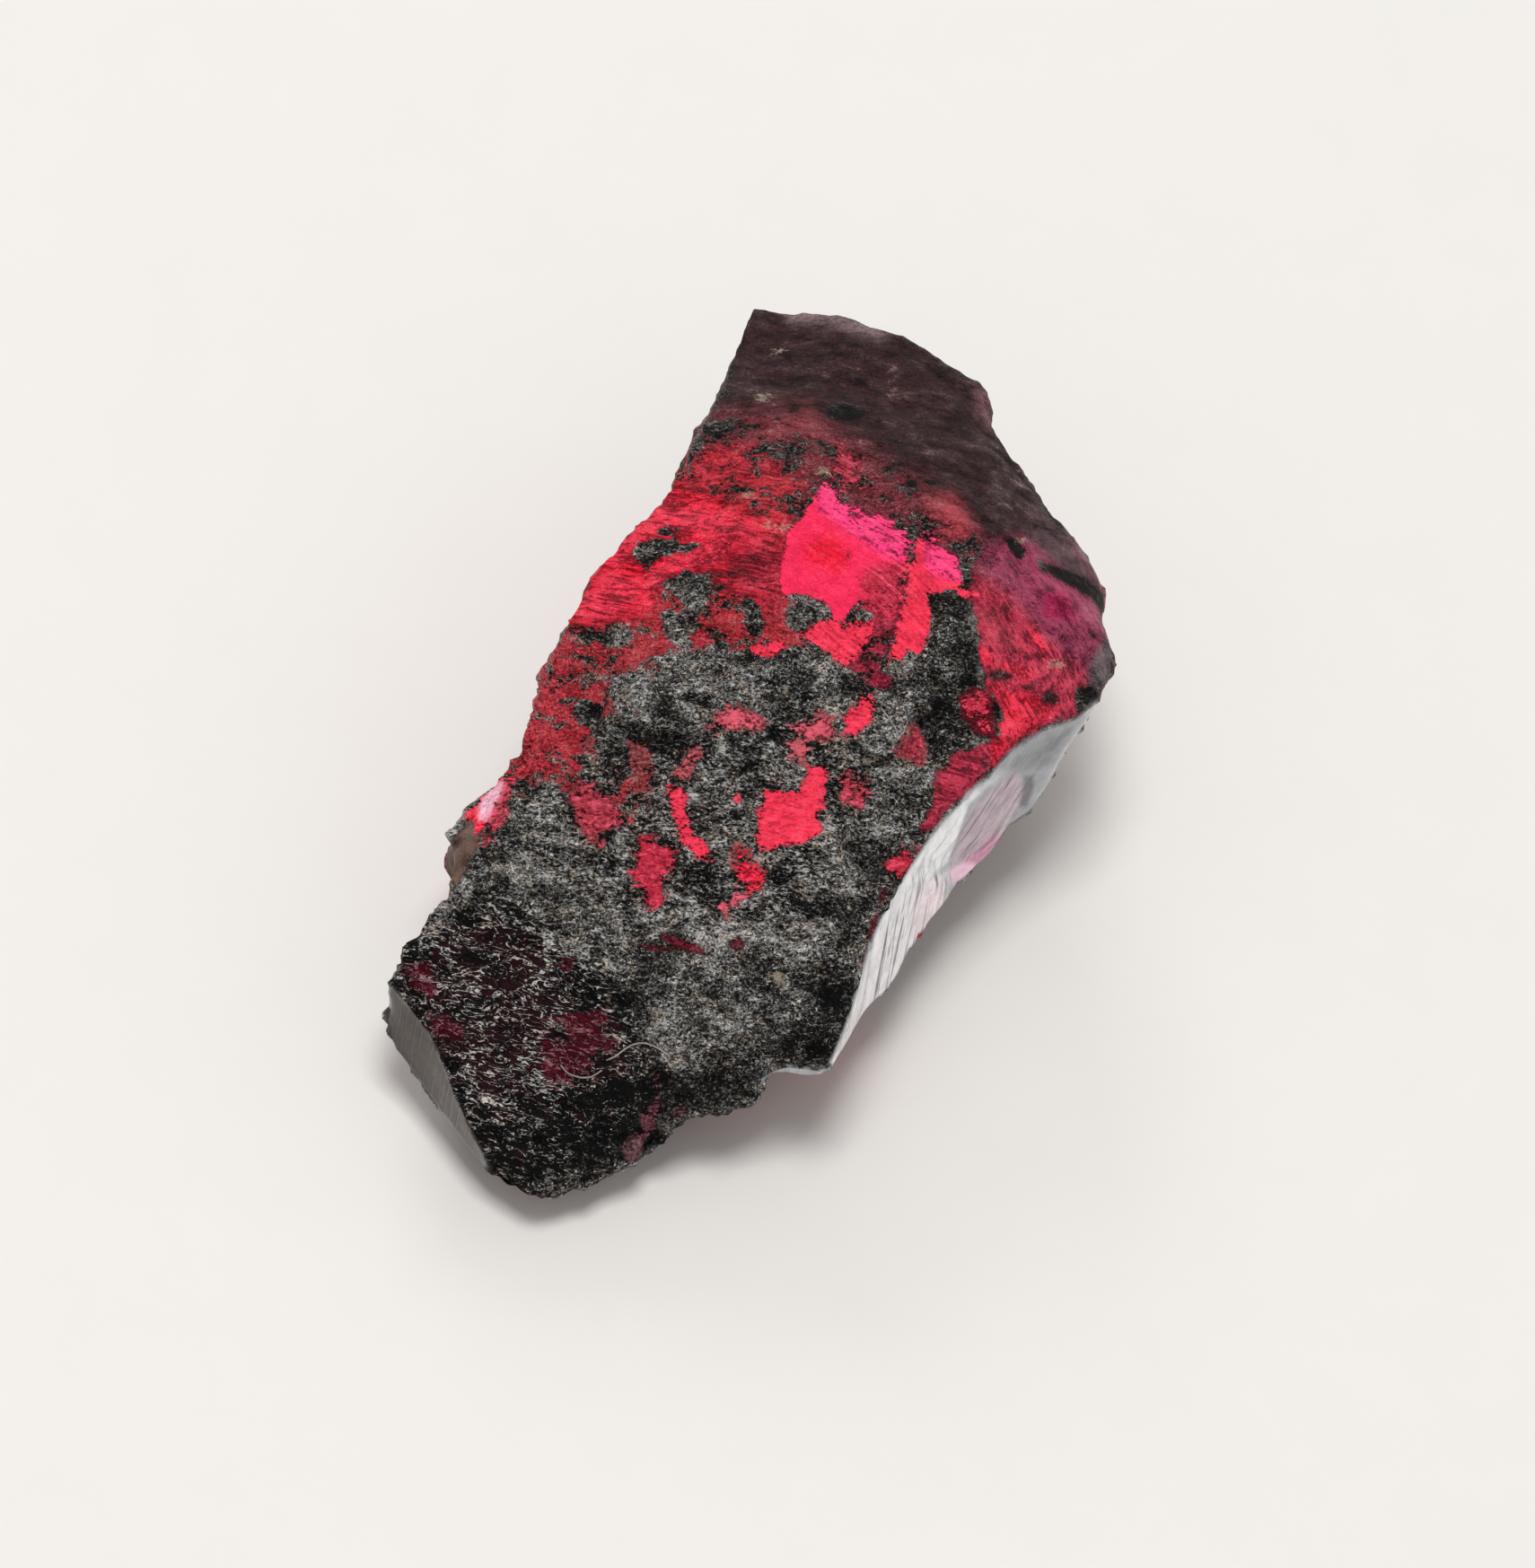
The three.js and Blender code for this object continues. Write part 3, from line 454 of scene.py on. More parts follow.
# outline, change of brightness and width of its soft edge in mm. The lump, near end and right foot get
# painted shade, the plateau, lobe and slope painted sheen, glints and light.
TONE_AND_SHADE_ZONES = [(PLATEAU_PAINTED_SHEEN, 0.02, 0.25), (LOBE_PAINTED_GLINTS, 0.16, 0.15), (SLOPE_PAINTED_LIGHT, 0.62, 0.25),
         (LOWER_LOBE, -1.20, 0.45), (LUMP_PAINTED_SHADE, -0.65, 0.12), (NEAR_END_PAINTED_SHADE, -0.95, 0.25),
         (RIGHT_FOOT_PAINTED_SHADE, -1.25, 0.15), (CRUST_TALL, -0.20, 0.10), (FAR_END, -0.45, 0.30),
         (VEIN_GROUND, 0.10, 0.12), (CRUST_EAST, -0.5, 0.05), (CRUST_MARGIN, 1.2, 0.06),
         (CRUST_FAR, -1.0, 0.05), (CRUST_EDGE, -0.8, 0.05), (CRUST_TWIN, 0.4, 0.05),
         (CRUST_LEFT, -0.4, 0.05),
         (NEAR_KNOB, 0.5, 0.15), (DARK_STREAK, -0.6, 0.05)]
# outline, share of maroon stain in the crust and width of its soft edge in mm
MAROONS = [(LOWER_LOBE, 0.68, 0.45), (NEAR_END_PAINTED_SHADE, -0.35, 0.25), (WINDOW_GROUND, 0.35, 0.40),
           (NEAR_GROUND, 0.30, 0.30), (FAR_HALF, 0.30, 0.40), (LEFT_MARGIN, 0.40, 0.30)]
MAROON_EVERYWHERE = 0.15
# outline, share of flat flakes in place of curly grain, and width of the soft edge in mm
FLAKY_ZONES = [(LOWER_LOBE, 1.0, 0.45), (WINDOW_GROUND, 0.35, 0.40), (PLATEAU_PAINTED_SHEEN, -0.5, 0.25)]
# outline, share by which the fine grain and the relief fade there, and width of the soft edge in mm
SMOOTH_ZONES = [(FAR_HALF, 0.65, 0.40), (RIGHT_CORNER, 0.35, 0.30), (BULGE, 0.9, 0.05)]
# how far the red stain reaches round a ragged window in mm, and its share there
HALO_REACH = 0.16
HALO_SHARE = 0.62
# how much darker the islands of crust are
ISLAND_SHADE = 0.5


# ---- sight and fields
def seen_at(points):
    """Where each point of the stone, in mm, lies in the picture, in pixels."""
    gap = points - np.array(AIM)
    across = gap @ np.array(RIGHT)
    upward = gap @ np.array(UP)
    return PICTURE_MIDDLE + PIXELS_PER_MM * np.stack((across, -upward), axis=1)


def smooth(values, low, high):
    """0 below low, 1 above high and an even curve between them."""
    share = np.clip((values - low) / (high - low), 0.0, 1.0)
    return share * share * (3.0 - 2.0 * share)


def blend(first, second, share):
    """One array of colours passing into another."""
    return first * (1.0 - share[:, None]) + np.array(second) * share[:, None]


def evenly(colour, points):
    """The same colour for every point."""
    return np.tile(np.array(colour), (len(points), 1))


def gap_to_line(spots, line):
    """Distance of each spot from an open line, in mm."""
    corners = np.array(line, dtype=float)
    nearest = np.full(len(spots), np.inf)
    for start, end in zip(corners[:-1], corners[1:]):
        edge = end - start
        gap = spots - start
        along = np.clip(gap @ edge / (edge @ edge), 0.0, 1.0)
        nearest = np.minimum(nearest, np.hypot(*(gap - along[:, None] * edge).T))
    return nearest / PIXELS_PER_MM


def depth_in(spots, outline):
    """How far each spot lies inside a closed outline, in mm. It is negative outside."""
    corners = np.array(outline, dtype=float)
    inside = np.zeros(len(spots), dtype=bool)
    for start, end in zip(corners, np.roll(corners, -1, axis=0)):
        edge = end - start
        gap = spots - start
        crosses = (start[1] > spots[:, 1]) != (end[1] > spots[:, 1])
        rise = edge[1] if edge[1] else 1.0
        inside ^= crosses & (gap[:, 0] < gap[:, 1] * edge[0] / rise)
    gap = gap_to_line(spots, [*outline, outline[0]])
    return np.where(inside, gap, -gap)


def within(spots, outline, soft):
    """1 inside an outline and 0 outside it, with an edge that is soft mm wide on either side."""
    return smooth(depth_in(spots, outline), -soft, soft)


def tinted(spots, tints, colour, streak):
    """The colour and the share of streaks, with each tint laid over them in turn."""
    for outline, paint, share, soft in tints:
        weight = within(spots, outline, soft)
        colour = blend(colour, paint, weight)
        streak = streak * (1.0 - weight) + share * weight
    return colour, streak


def deepest(spots, outlines):
    """Depth inside the nearest of several outlines, in mm."""
    return np.max([depth_in(spots, outline) for outline in outlines], axis=0)


def noise_at(points, size, octaves=3):
    """Fractal noise at each point, with blobs size mm across along x, y and z."""
    scaled = points / np.array(size)
    return np.array([noise.fractal(Vector(p), 1.0, 2.0, octaves) for p in scaled])


def turned(points, angle):
    """The points in axes turned about the vertical, so that x runs along a grain."""
    cosine, sine = math.cos(angle), math.sin(angle)
    x = points[:, 0] * cosine + points[:, 1] * sine
    y = points[:, 1] * cosine - points[:, 0] * sine
    return np.stack((x, y, points[:, 2]), axis=1)


def facing_share(normals, limits):
    """1 on the seen side and just past its outline, and 0 on the hidden sides."""
    return smooth(normals @ -np.array(FORWARD), *limits)


def far_share(points):
    """1 at the top of the far end, also behind it, with a ragged lower edge."""
    ragged = 0.5 * noise_at(points + 31.0, (0.7, 0.7, 0.5))
    return smooth(points[:, 1], *FAR_END_Y) * smooth(points[:, 2] + ragged, *FAR_END_Z)


def window_fields(points, spots, facing):
    """Depth inside the nearest red window in mm, with that window's colour and share of streaks."""
    depth = np.full(len(points), OUTSIDE)
    colour = evenly(SILKY_RED, points)
    streak = np.full(len(points), 0.7)
    for outline, paint, share in WINDOWS:
        reach = depth_in(spots, outline)
        nearer = reach > depth
        colour[nearer] = paint
        streak[nearer] = share
        depth = np.maximum(depth, reach)
    colour, streak = tinted(spots, WINDOW_TINTS, colour, streak)
    hidden = (noise_at(points, (0.9, 1.1, 0.8)) - 0.42) * 0.5
    colour = blend(evenly(SILKY_RED, points), colour, facing)
    return depth * facing + hidden * (1.0 - facing), colour, streak


def veil_fields(points, spots, facing):
    """How much of the skin is clear or stained, the colour that shows there, and its share of fibres."""
    cover = np.zeros(len(points))
    colour = evenly(BROWN, points)
    fibre = np.zeros(len(points))
    for outline, paint, share, silk, soft in VEILS:
        weight = within(spots, outline, soft)
        cover = cover * (1.0 - weight) + share * weight
        fibre = fibre * (1.0 - weight) + silk * weight
        colour = blend(colour, paint, weight)
    far = far_share(points)
    hidden = smooth(noise_at(points, (1.6, 1.9, 1.2)), 0.05, 0.55) * 0.6
    hidden = np.maximum(hidden, 0.9 * far)
    behind = blend(evenly(DULL_RED, points), BROWN, far)
    colour = behind * (1.0 - facing[:, None]) + colour * facing[:, None]
    return cover * facing + hidden * (1.0 - facing), colour, fibre * facing


def add_halo(fields):
    """Lets the crust around each ragged window be stained red."""
    halo = smooth(fields["window"], -HALO_REACH, 0.0) * fields["window_streak"] * HALO_SHARE
    weight = smooth(halo - fields["veil"], 0.0, 0.2)
    fields["veil_colour"] = blend(fields["veil_colour"], DULL_RED, weight)
    fields["fibre"] = fields["fibre"] * (1.0 - weight)
    fields["veil"] = np.maximum(fields["veil"], halo)


def summed(spots, zones):
    """Sum over zones of a value that holds inside each outline and fades over its soft edge."""
    return sum(value * within(spots, outline, soft) for outline, value, soft in zones)


def crust_depth(spots):
    """Depth inside the nearest island of crust, in mm. The red slit is cut out of it."""
    return np.minimum(deepest(spots, CRUSTS), -depth_in(spots, SLIT_GROUND))


def fleck_field(spots):
    """Depth inside the nearest pale fleck of another mineral, in mm."""
    reach = []
    for x, y, half_width, half_height in FLECKS:
        ring = np.hypot((spots[:, 0] - x) / half_width, (spots[:, 1] - y) / half_height)
        reach.append((1.0 - ring) * min(half_width, half_height))
    return np.max(reach, axis=0) / PIXELS_PER_MM


def streak_places(spots):
    """Places along and across the streaks of the glassy breaks, which turn from their upper end down."""
    place = (spots - PICTURE_MIDDLE) / PIXELS_PER_MM
    lower = smooth(spots[:, 1], *STREAK_TURNING)
    turn = UPPER_STREAK_TURN * (1.0 - lower) + LOWER_STREAK_TURN * lower
    along = place[:, 0] * np.cos(turn) - place[:, 1] * np.sin(turn)
    across = place[:, 0] * np.sin(turn) + place[:, 1] * np.cos(turn)
    return np.stack((along, across, np.zeros(len(spots))), axis=1)


def glass_fields(spots, facing, wall):
    """Share of glassy break, its colour with painted reflection, highlight and glow, and the places that
    its streaks are drawn in.
    """
    depth = deepest(spots, [GLOSS_RIGHT, GLOSS_LEFT, GLOSS_NEAR])
    share = smooth(depth, -0.03, 0.02) * wall * smooth(facing, 0.0, 0.3)
    rim_gap = np.minimum(gap_to_line(spots, RIGHT_RIM), gap_to_line(spots, LEFT_RIM))
    streak = np.full(len(spots), 0.1)
    colour, streak = tinted(spots, GLASS_TINTS, evenly(GREY_GLASS, spots), streak)
    # painted highlight along the right break's rim
    rim_highlight = smooth(-rim_gap, *RIM_HIGHLIGHT_REACH) * smooth(spots[:, 1], *RIM_HIGHLIGHT_ROWS)
    colour = blend(colour, GLASS_HIGHLIGHT, rim_highlight * (depth_in(spots, GLOSS_RIGHT) > -0.1))
    streak = streak * (1.0 - 0.6 * rim_highlight)
    left_side = smooth(-spots[:, 0], *LEFT_BREAK_COLUMNS)
    edge = smooth(depth_in(spots, LEFT_GLASS_EDGE), -0.04, 0.06)
    left_tone = blend(evenly(MID_GLASS, spots), EDGE_GLASS, edge)
    colour = colour * (1.0 - left_side[:, None]) + left_tone * left_side[:, None]
    return {
        "gloss": share,
        "gloss_colour_and_light": colour,
        "gloss_streak": np.maximum(streak * (1.0 - left_side), 0.25 * left_side),
        "streak_place": streak_places(spots),
    }


def stone_fields(points, normals):
    """All the named fields of the stone's surface."""
    spots = seen_at(points)
    facing = facing_share(normals, SKIN_FACING)
    wall = smooth(-normals[:, 2], *WALL_LEAN) * facing_share(normals, WALL_FACING)
    above_foot = smooth(points[:, 2], *BREAK_FOOT)
    wall = wall * np.where(spots[:, 0] > BREAK_FOOT_FROM, above_foot, 1.0)
    hidden_fade = HIDDEN_FADE * far_share(points) * (1.0 - facing)
    window, window_colour, window_streak = window_fields(points, spots, facing)
    veil, veil_colour, fibre = veil_fields(points, spots, facing)
    crust = crust_depth(spots)
    fields = {
        "window": window,
        "window_colour": window_colour,
        "window_streak": window_streak,
        "veil": veil,
        "veil_colour": veil_colour,
        "fibre": fibre,
        "steep": smooth(spots[:, 0], *STEEP_COLUMNS) * facing,
        "slanted": within(spots, FAN_ZONE, 0.15) * facing,
        "crust": np.where(facing > 0.5, crust, NOT_SEEN),
        "fleck": np.where(facing > 0.5, fleck_field(spots), NOT_SEEN),
        "tone_and_shade": (summed(spots, TONE_AND_SHADE_ZONES) - ISLAND_SHADE * smooth(crust, -0.02, 0.04)) * facing,
        "flaky": np.clip(summed(spots, FLAKY_ZONES) * facing, 0.0, 1.0) + 0.4 * (1.0 - facing),
        "fade": np.minimum(summed(spots, SMOOTH_ZONES), MOST_FADED) * facing + hidden_fade,
        "maroon": MAROON_EVERYWHERE + summed(spots, MAROONS) * facing,
        # painted glow share: the windows glow more on the seen side than on the hidden ones
        "painted_glow_share": 0.2 + 0.8 * facing,
    }
    add_halo(fields)
    fields.update(glass_fields(spots, facing, wall))
    return fields


# ---- the stone's mesh
def crease_edges(shape):
    """Marks the sharp edges of the stone, so that the added points keep them."""
    layer = shape.edges.layers.float.new("crease_edge")
    for edge in shape.edges:
        bend = edge.calc_face_angle(0.0)
        share = min(max((bend - SHARP_FROM) / (SHARP_TO - SHARP_FROM), 0.0), 1.0)
        edge[layer] = share * SHARPNESS


def refined_mesh(node):
    """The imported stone's mesh with more points, and with its edges kept."""
    shape = bmesh.new()
    shape.from_mesh(node.data)
    bmesh.ops.remove_doubles(shape, verts=shape.verts, dist=WELD * MM)
    bmesh.ops.join_triangles(shape, faces=shape.faces, angle_face_threshold=math.radians(60.0),
                             angle_shape_threshold=math.radians(70.0))
    crease_edges(shape)
    coarse = bpy.data.meshes.new("coarse")
    shape.to_mesh(coarse)
    shape.free()
    holder = bpy.data.objects.new("holder", coarse)
    bpy.context.collection.objects.link(holder)
    modifier = holder.modifiers.new("points", "SUBSURF")
    modifier.levels = EXTRA_LEVELS
    seen = holder.evaluated_get(bpy.context.evaluated_depsgraph_get())
    fine = bpy.data.meshes.new_from_object(seen)
    bpy.data.objects.remove(holder)
    return fine


def read_points(mesh):
    """The mesh's points in mm and their normals."""
    flat = np.empty(len(mesh.vertices) * 3)
    mesh.vertices.foreach_get("co", flat)
    points = flat.reshape(-1, 3) / MM
    normals = np.empty(len(mesh.vertices) * 3)
    mesh.vertices.foreach_get("normal", normals)
    return points, normals.reshape(-1, 3)


def relief(points, fields):
    """How far each point moves outward, in mm."""
    grain = turned(points, HATCH_TURN)
    lumps = LUMP_DEPTH * noise_at(points, (0.50, 0.50, 0.50))
    fold = noise_at(turned(points, FOLD_TURN) + 5.0, (0.80, 0.36, 0.36), 2)
    folds = FOLD_DEPTH * (0.26 - np.abs(fold))
    crests = CREST_DEPTH * (0.30 - np.abs(noise_at(grain + 11.0, (0.38, 0.24, 0.24), 2)))
    grit = GRIT_DEPTH * noise_at(points + 7.0, (0.16, 0.16, 0.16))
    hatch = HATCH_DEPTH * noise_at(grain + 3.0, (0.30, 0.10, 0.10), 2)
    pits = -PIT_DEPTH * smooth(noise_at(points + 21.0, (0.28, 0.28, 0.28), 2), 0.30, 0.75)
    bare = smooth(fields["window"], -0.02, 0.03) * (1.0 - smooth(fields["crust"], -0.02, 0.02))
    silky = np.maximum(bare, 0.8 * smooth(fields["fibre"], 0.3, 0.9) * smooth(fields["veil"], 0.5, 0.9))
    calm = (1.0 - 0.6 * silky) * (1.0 - 1.1 * fields["fade"])
    skin = (lumps + folds + crests + grit + hatch + pits) * calm - WINDOW_DEPTH * bare
    glassy = 0.10 * lumps
    return skin * (1.0 - fields["gloss"]) + glassy * fields["gloss"]


def press_relief(mesh):
    """Moves the points of the mesh by the stone's relief and leaves the face it rests on flat."""
    points, normals = read_points(mesh)
    rise = relief(points, stone_fields(points, normals))
    resting = smooth(points[:, 2], 0.0, FLOOR_ZONE)
    moved = points + normals * (rise * resting)[:, None]
    moved[:, 2] = np.maximum(moved[:, 2], 0.0)
    mesh.vertices.foreach_set("co", (moved * MM).ravel())
    mesh.update()
    return moved, normals, rise


def store_fields(mesh, fields):
    """Keeps each field on the mesh, where the material reads it by name."""
    kinds = {1: ("FLOAT", "value"), 3: ("FLOAT_VECTOR", "vector"), 4: ("FLOAT_COLOR", "color")}
    for name, values in fields.items():
        kind, part = kinds[values.shape[1] if values.ndim == 2 else 1]
        layer = mesh.attributes.new(name, kind, "POINT")
        layer.data.foreach_set(part, values.ravel())


# ---- materials
class Nodes:
    """The shader nodes of one material. Each step gives back its output."""

    def __init__(self, name):
        self.material = bpy.data.materials.new(name)
        self.material.use_nodes = True
        self.tree = self.material.node_tree
        self.shader = self.tree.nodes["Principled BSDF"]

    def feed(self, socket, value):
        if isinstance(value, bpy.types.NodeSocket):
            self.tree.links.new(value, socket)
        else:
            socket.default_value = value

    def made(self, kind, inputs, output=0, **settings):
        """One output of a new node, with its inputs set or linked."""
        node = self.tree.nodes.new(kind)
        for name, value in settings.items():
            setattr(node, name, value)
        for name, value in inputs.items():
            self.feed(node.inputs[name], value)
        return node.outputs[output]

    def surface(self, inputs):
        """Sets or links inputs of the shader itself."""
        for name, value in inputs.items():
            self.feed(self.shader.inputs[name], value)

    def field(self, name, part="Fac"):
        return self.made("ShaderNodeAttribute", {}, part, attribute_name=name)

    def math(self, operation, *values):
        return self.made("ShaderNodeMath", dict(enumerate(values)), operation=operation)

    def times(self, first, second):
        return self.math("MULTIPLY", first, second)

    def weighted(self, value, weight, base):
        """The value times its weight, plus the base."""
        return self.math("MULTIPLY_ADD", value, weight, base)

    def rest(self, value):
        """What the value leaves of 1."""
        return self.math("SUBTRACT", 1.0, value)

    def step(self, value, low, high, bottom=0.0, top=1.0):
        inputs = {"Value": value, "From Min": low, "From Max": high, "To Min": bottom, "To Max": top}
        return self.made("ShaderNodeMapRange", inputs, "Result", interpolation_type="SMOOTHSTEP")

    def mix(self, share, first, second, blend_type="MIX"):
        inputs = {"Factor": share, 6: first, 7: second}
        return self.made("ShaderNodeMix", inputs, 2, data_type="RGBA", blend_type=blend_type)

    def mix_value(self, share, first, second):
        inputs = {"Factor": share, 2: first, 3: second}
        return self.made("ShaderNodeMix", inputs, 0, data_type="FLOAT")

    def scale_colour(self, colour, amount):
        return self.made("ShaderNodeVectorMath", {0: colour, "Scale": amount}, operation="SCALE")

    def ramp(self, value, stops):
        node = self.tree.nodes.new("ShaderNodeValToRGB")
        steps = node.color_ramp.elements
        while len(steps) < len(stops):
            steps.new(0.5)
        for element, (place, colour) in zip(steps, stops):
            element.position = place
            element.color = colour
        self.feed(node.inputs[0], value)
        return node.outputs["Color"]

    def noise(self, place, size, detail=3.0, roughness=0.55, warp=0.0):
        """Noise with blobs size wide, in the units of the place that it is drawn in."""
        per_blob = [1.0 / width for width in size]
        place = self.made("ShaderNodeVectorMath", {0: place, 1: per_blob}, operation="MULTIPLY")
        inputs = {"Vector": place, "Scale": 1.0, "Detail": detail, "Roughness": roughness,
                  "Distortion": warp}
        return self.made("ShaderNodeTexNoise", inputs, "Fac")

    def grain(self, size, turn=0.0, **kind):
        """Noise with blobs size mm wide, laid along axes turned about the vertical."""
        inputs = {"Vector": self.made("ShaderNodeTexCoord", {}, "Object"), "Angle": -turn}
        place = self.made("ShaderNodeVectorRotate", inputs, rotation_type="Z_AXIS")
        return self.noise(place, [width * MM for width in size], **kind)

    def ridge(self, value, width):
        """1 along the middle lines of a noise, falling to 0 a little way off them."""
        return self.step(self.math("ABSOLUTE", self.math("SUBTRACT", value, 0.5)), 0.0, width, 1.0, 0.0)

    def swing(self, base, *parts):
        """The base, plus the swing of each noise about its middle times its weight."""
        total = base - 0.5 * sum(weight for noise, weight in parts)
        for value, weight in parts:
            total = self.weighted(value, weight, total)
        return total

    def between(self, low, high, share):
        """A number that goes from low to high with the share."""
        return self.weighted(share, high - low, low)


def painite_material():
    """Dark crusted skin, stained and clear zones, red windows and glassy breaks, with painted shade,
    glints and glow.
    """
    g = Nodes("painite")
    grit = g.grain((0.040, 0.032, 0.032), HATCH_TURN, detail=2.0, roughness=0.6)
    dash = g.grain((0.110, 0.040, 0.040), HATCH_TURN, detail=2.0, roughness=0.6, warp=0.6)
    clump = g.grain((0.24, 0.16, 0.16), HATCH_TURN, detail=4.0, roughness=0.65)
    patch = g.grain((0.60, 0.42, 0.42), HATCH_TURN, detail=3.0, roughness=0.6)
    hue = g.grain((0.20, 0.16, 0.16), SLANT_TURN, detail=2.0, roughness=0.6)
    curl = g.ridge(g.grain((0.135, 0.090, 0.090), HATCH_TURN, detail=2.0, roughness=0.55, warp=1.8), 0.060)
    knot = g.ridge(g.grain((0.090, 0.062, 0.062), SLANT_TURN, detail=1.0, roughness=0.5, warp=1.0), 0.055)
    flake = g.ridge(g.grain((0.240, 0.078, 0.078), SWEEP_TURN, detail=2.0, roughness=0.6, warp=0.9), 0.066)
    crack = g.ridge(g.grain((0.80, 0.34, 0.34), HATCH_TURN, detail=3.0, roughness=0.6, warp=0.8), 0.012)
    level_fibre = g.grain((0.70, 0.044, 0.070), SWEEP_TURN, detail=3.0, roughness=0.65, warp=0.7)
    slant_fibre = g.grain((0.42, 0.044, 0.070), SLANT_TURN, detail=3.0, roughness=0.65, warp=0.5)
    steep_fibre = g.grain((0.34, 0.046, 0.070), STEEP_TURN, detail=3.0, roughness=0.65, warp=1.0)
    thread = g.ridge(g.grain((0.95, 0.11, 0.14), SWEEP_TURN, detail=1.0, roughness=0.5, warp=1.0), 0.010)
    fine = g.rest(g.field("fade"))

    # crust: near black, with curly pale grain or flat pale flakes, and dark cracks. The palest specks of
    # the grain and flakes are painted glints.
    flaky = g.field("flaky")
    curly = g.math("MAXIMUM", curl, g.times(knot, 0.8))
    curly = g.weighted(g.math("SUBTRACT", curly, 0.42), 0.34, g.swing(0.0, (grit, 0.9), (dash, 0.5)))
    flaked = g.weighted(g.math("SUBTRACT", flake, 0.38), 0.76, g.swing(0.0, (grit, 1.5), (dash, 0.7)))
    flaked = g.math("ADD", flaked, g.swing(0.0, (clump, 1.0)))
    texture = g.mix_value(flaky, curly, flaked)
    ground = g.weighted(crack, -0.12, g.swing(0.64, (clump, 0.45), (patch, 0.60)))
    speck = g.weighted(texture, fine, ground)
    # painted shade and light: the shaded near end, lump and right foot are painted darker and the
    # plateau's sheen, the lobe's glints and the slope's light lighter; the relief's hollows are painted
    # darker and its crests lighter
    speck = g.weighted(g.field("tone_and_shade"), 0.20, speck)
    speck = g.weighted(g.field("rise"), 0.10, speck)
    skin = g.ramp(speck, [(0.36, SKIN_BLACK), (0.49, SKIN_DARK), (0.60, SKIN_GREY), (0.72, SKIN_LIGHT),
                          (0.92, SKIN_PAINTED_GLINT)])
    skin = g.mix(g.step(hue, 0.50, 0.64, 0.0, 0.6), skin, TAN_TINT, "MULTIPLY")
    maroon = g.math("ADD", g.field("maroon"), g.swing(0.0, (clump, 1.4), (patch, 2.4), (grit, 0.5)))
    maroon = g.times(g.step(maroon, 0.52, 0.90, 0.0, 0.85), g.step(speck, 0.44, 0.60, 1.0, 0.0))
    skin = g.mix(maroon, skin, MAROON)

    # stained and clear skin, grainy or with long fibres, with painted glints on its palest grains
    fibre = g.mix_value(g.field("steep"), level_fibre, steep_fibre)
    fibre_share = g.field("fibre")
    grainy = g.swing(0.5, (clump, 0.6), (patch, 0.7))
    grainy = g.weighted(texture, g.times(fine, 1.2), grainy)
    silky = g.swing(0.5, (clump, 1.2), (patch, 1.2), (grit, 0.4), (fibre, 2.2))
    grained = g.mix_value(fibre_share, grainy, silky)
    spread = g.swing(0.0, (clump, 3.0), (grit, 1.6), (patch, 2.4), (dash, 0.8))
    cover = g.weighted(g.field("veil"), 1.8, g.math("ADD", spread, -0.90))
    veil_share = g.step(cover, -0.14, 0.16)
    veil_colour = g.scale_colour(g.field("veil_colour", "Color"), g.step(grained, 0.28, 0.64, 0.36, 1.36))
    glint_colour = g.mix(fibre_share, STAIN_GLINT, HOT_GLINT)
    veil_colour = g.mix(g.step(grained, 0.62, 0.90, 0.0, 0.60), veil_colour, glint_colour)
    veil_colour = g.mix(g.times(thread, g.times(fibre_share, 0.60)), veil_colour, SILK_GLINT)
    colour = g.mix(veil_share, skin, veil_colour)

    # red windows, with ragged edges and streaks inside; their pale lines are painted glints
    streak = g.field("window_streak")
    window_fibre = g.mix_value(g.field("slanted"), dash, slant_fibre)
    ragged = g.swing(0.0, (clump, 0.40), (grit, 0.26), (window_fibre, 0.26))
    ragged = g.times(ragged, g.between(0.14, 1.0, streak))
    window_depth = g.math("ADD", g.field("window"), ragged)
    window_share = g.step(window_depth, -0.014, 0.014)
    line = g.swing(0.5, (window_fibre, 1.5), (grit, 0.8), (clump, 0.9))
    rim_shade = g.step(window_depth, 0.0, 0.07, 0.10, 0.0)
    line = g.math("SUBTRACT", line, g.times(rim_shade, streak))
    dark_line = g.times(g.step(line, 0.32, 0.50, 1.0, 0.0), g.between(0.12, 0.85, streak))
    window_colour = g.mix(dark_line, g.field("window_colour", "Color"), STREAK_CRIMSON)
    pale_line = g.times(g.step(line, 0.57, 0.82), g.between(0.12, 0.62, streak))
    pale_line = g.math("MAXIMUM", pale_line, g.times(knot, g.times(streak, 0.30)))
    window_colour = g.mix(pale_line, window_colour, SILK_GLINT)
    colour = g.mix(window_share, colour, window_colour)

    # islands of crust in the red, and flecks of a pale mineral
    crust_edge = g.swing(0.0, (clump, 0.20), (grit, 0.10), (dash, 0.10))
    crust_share = g.step(g.math("ADD", g.field("crust"), crust_edge), -0.006, 0.014)
    island = g.scale_colour(skin, g.step(g.field("crust"), 0.0, 0.06, 0.70, 1.0))
    colour = g.mix(crust_share, colour, island)
    fleck_edge = g.swing(0.0, (grit, 0.16), (clump, 0.20))
    fleck_share = g.step(g.math("ADD", g.field("fleck"), fleck_edge), -0.005, 0.040, 0.0, 0.62)
    colour = g.mix(fleck_share, colour, CREAM)

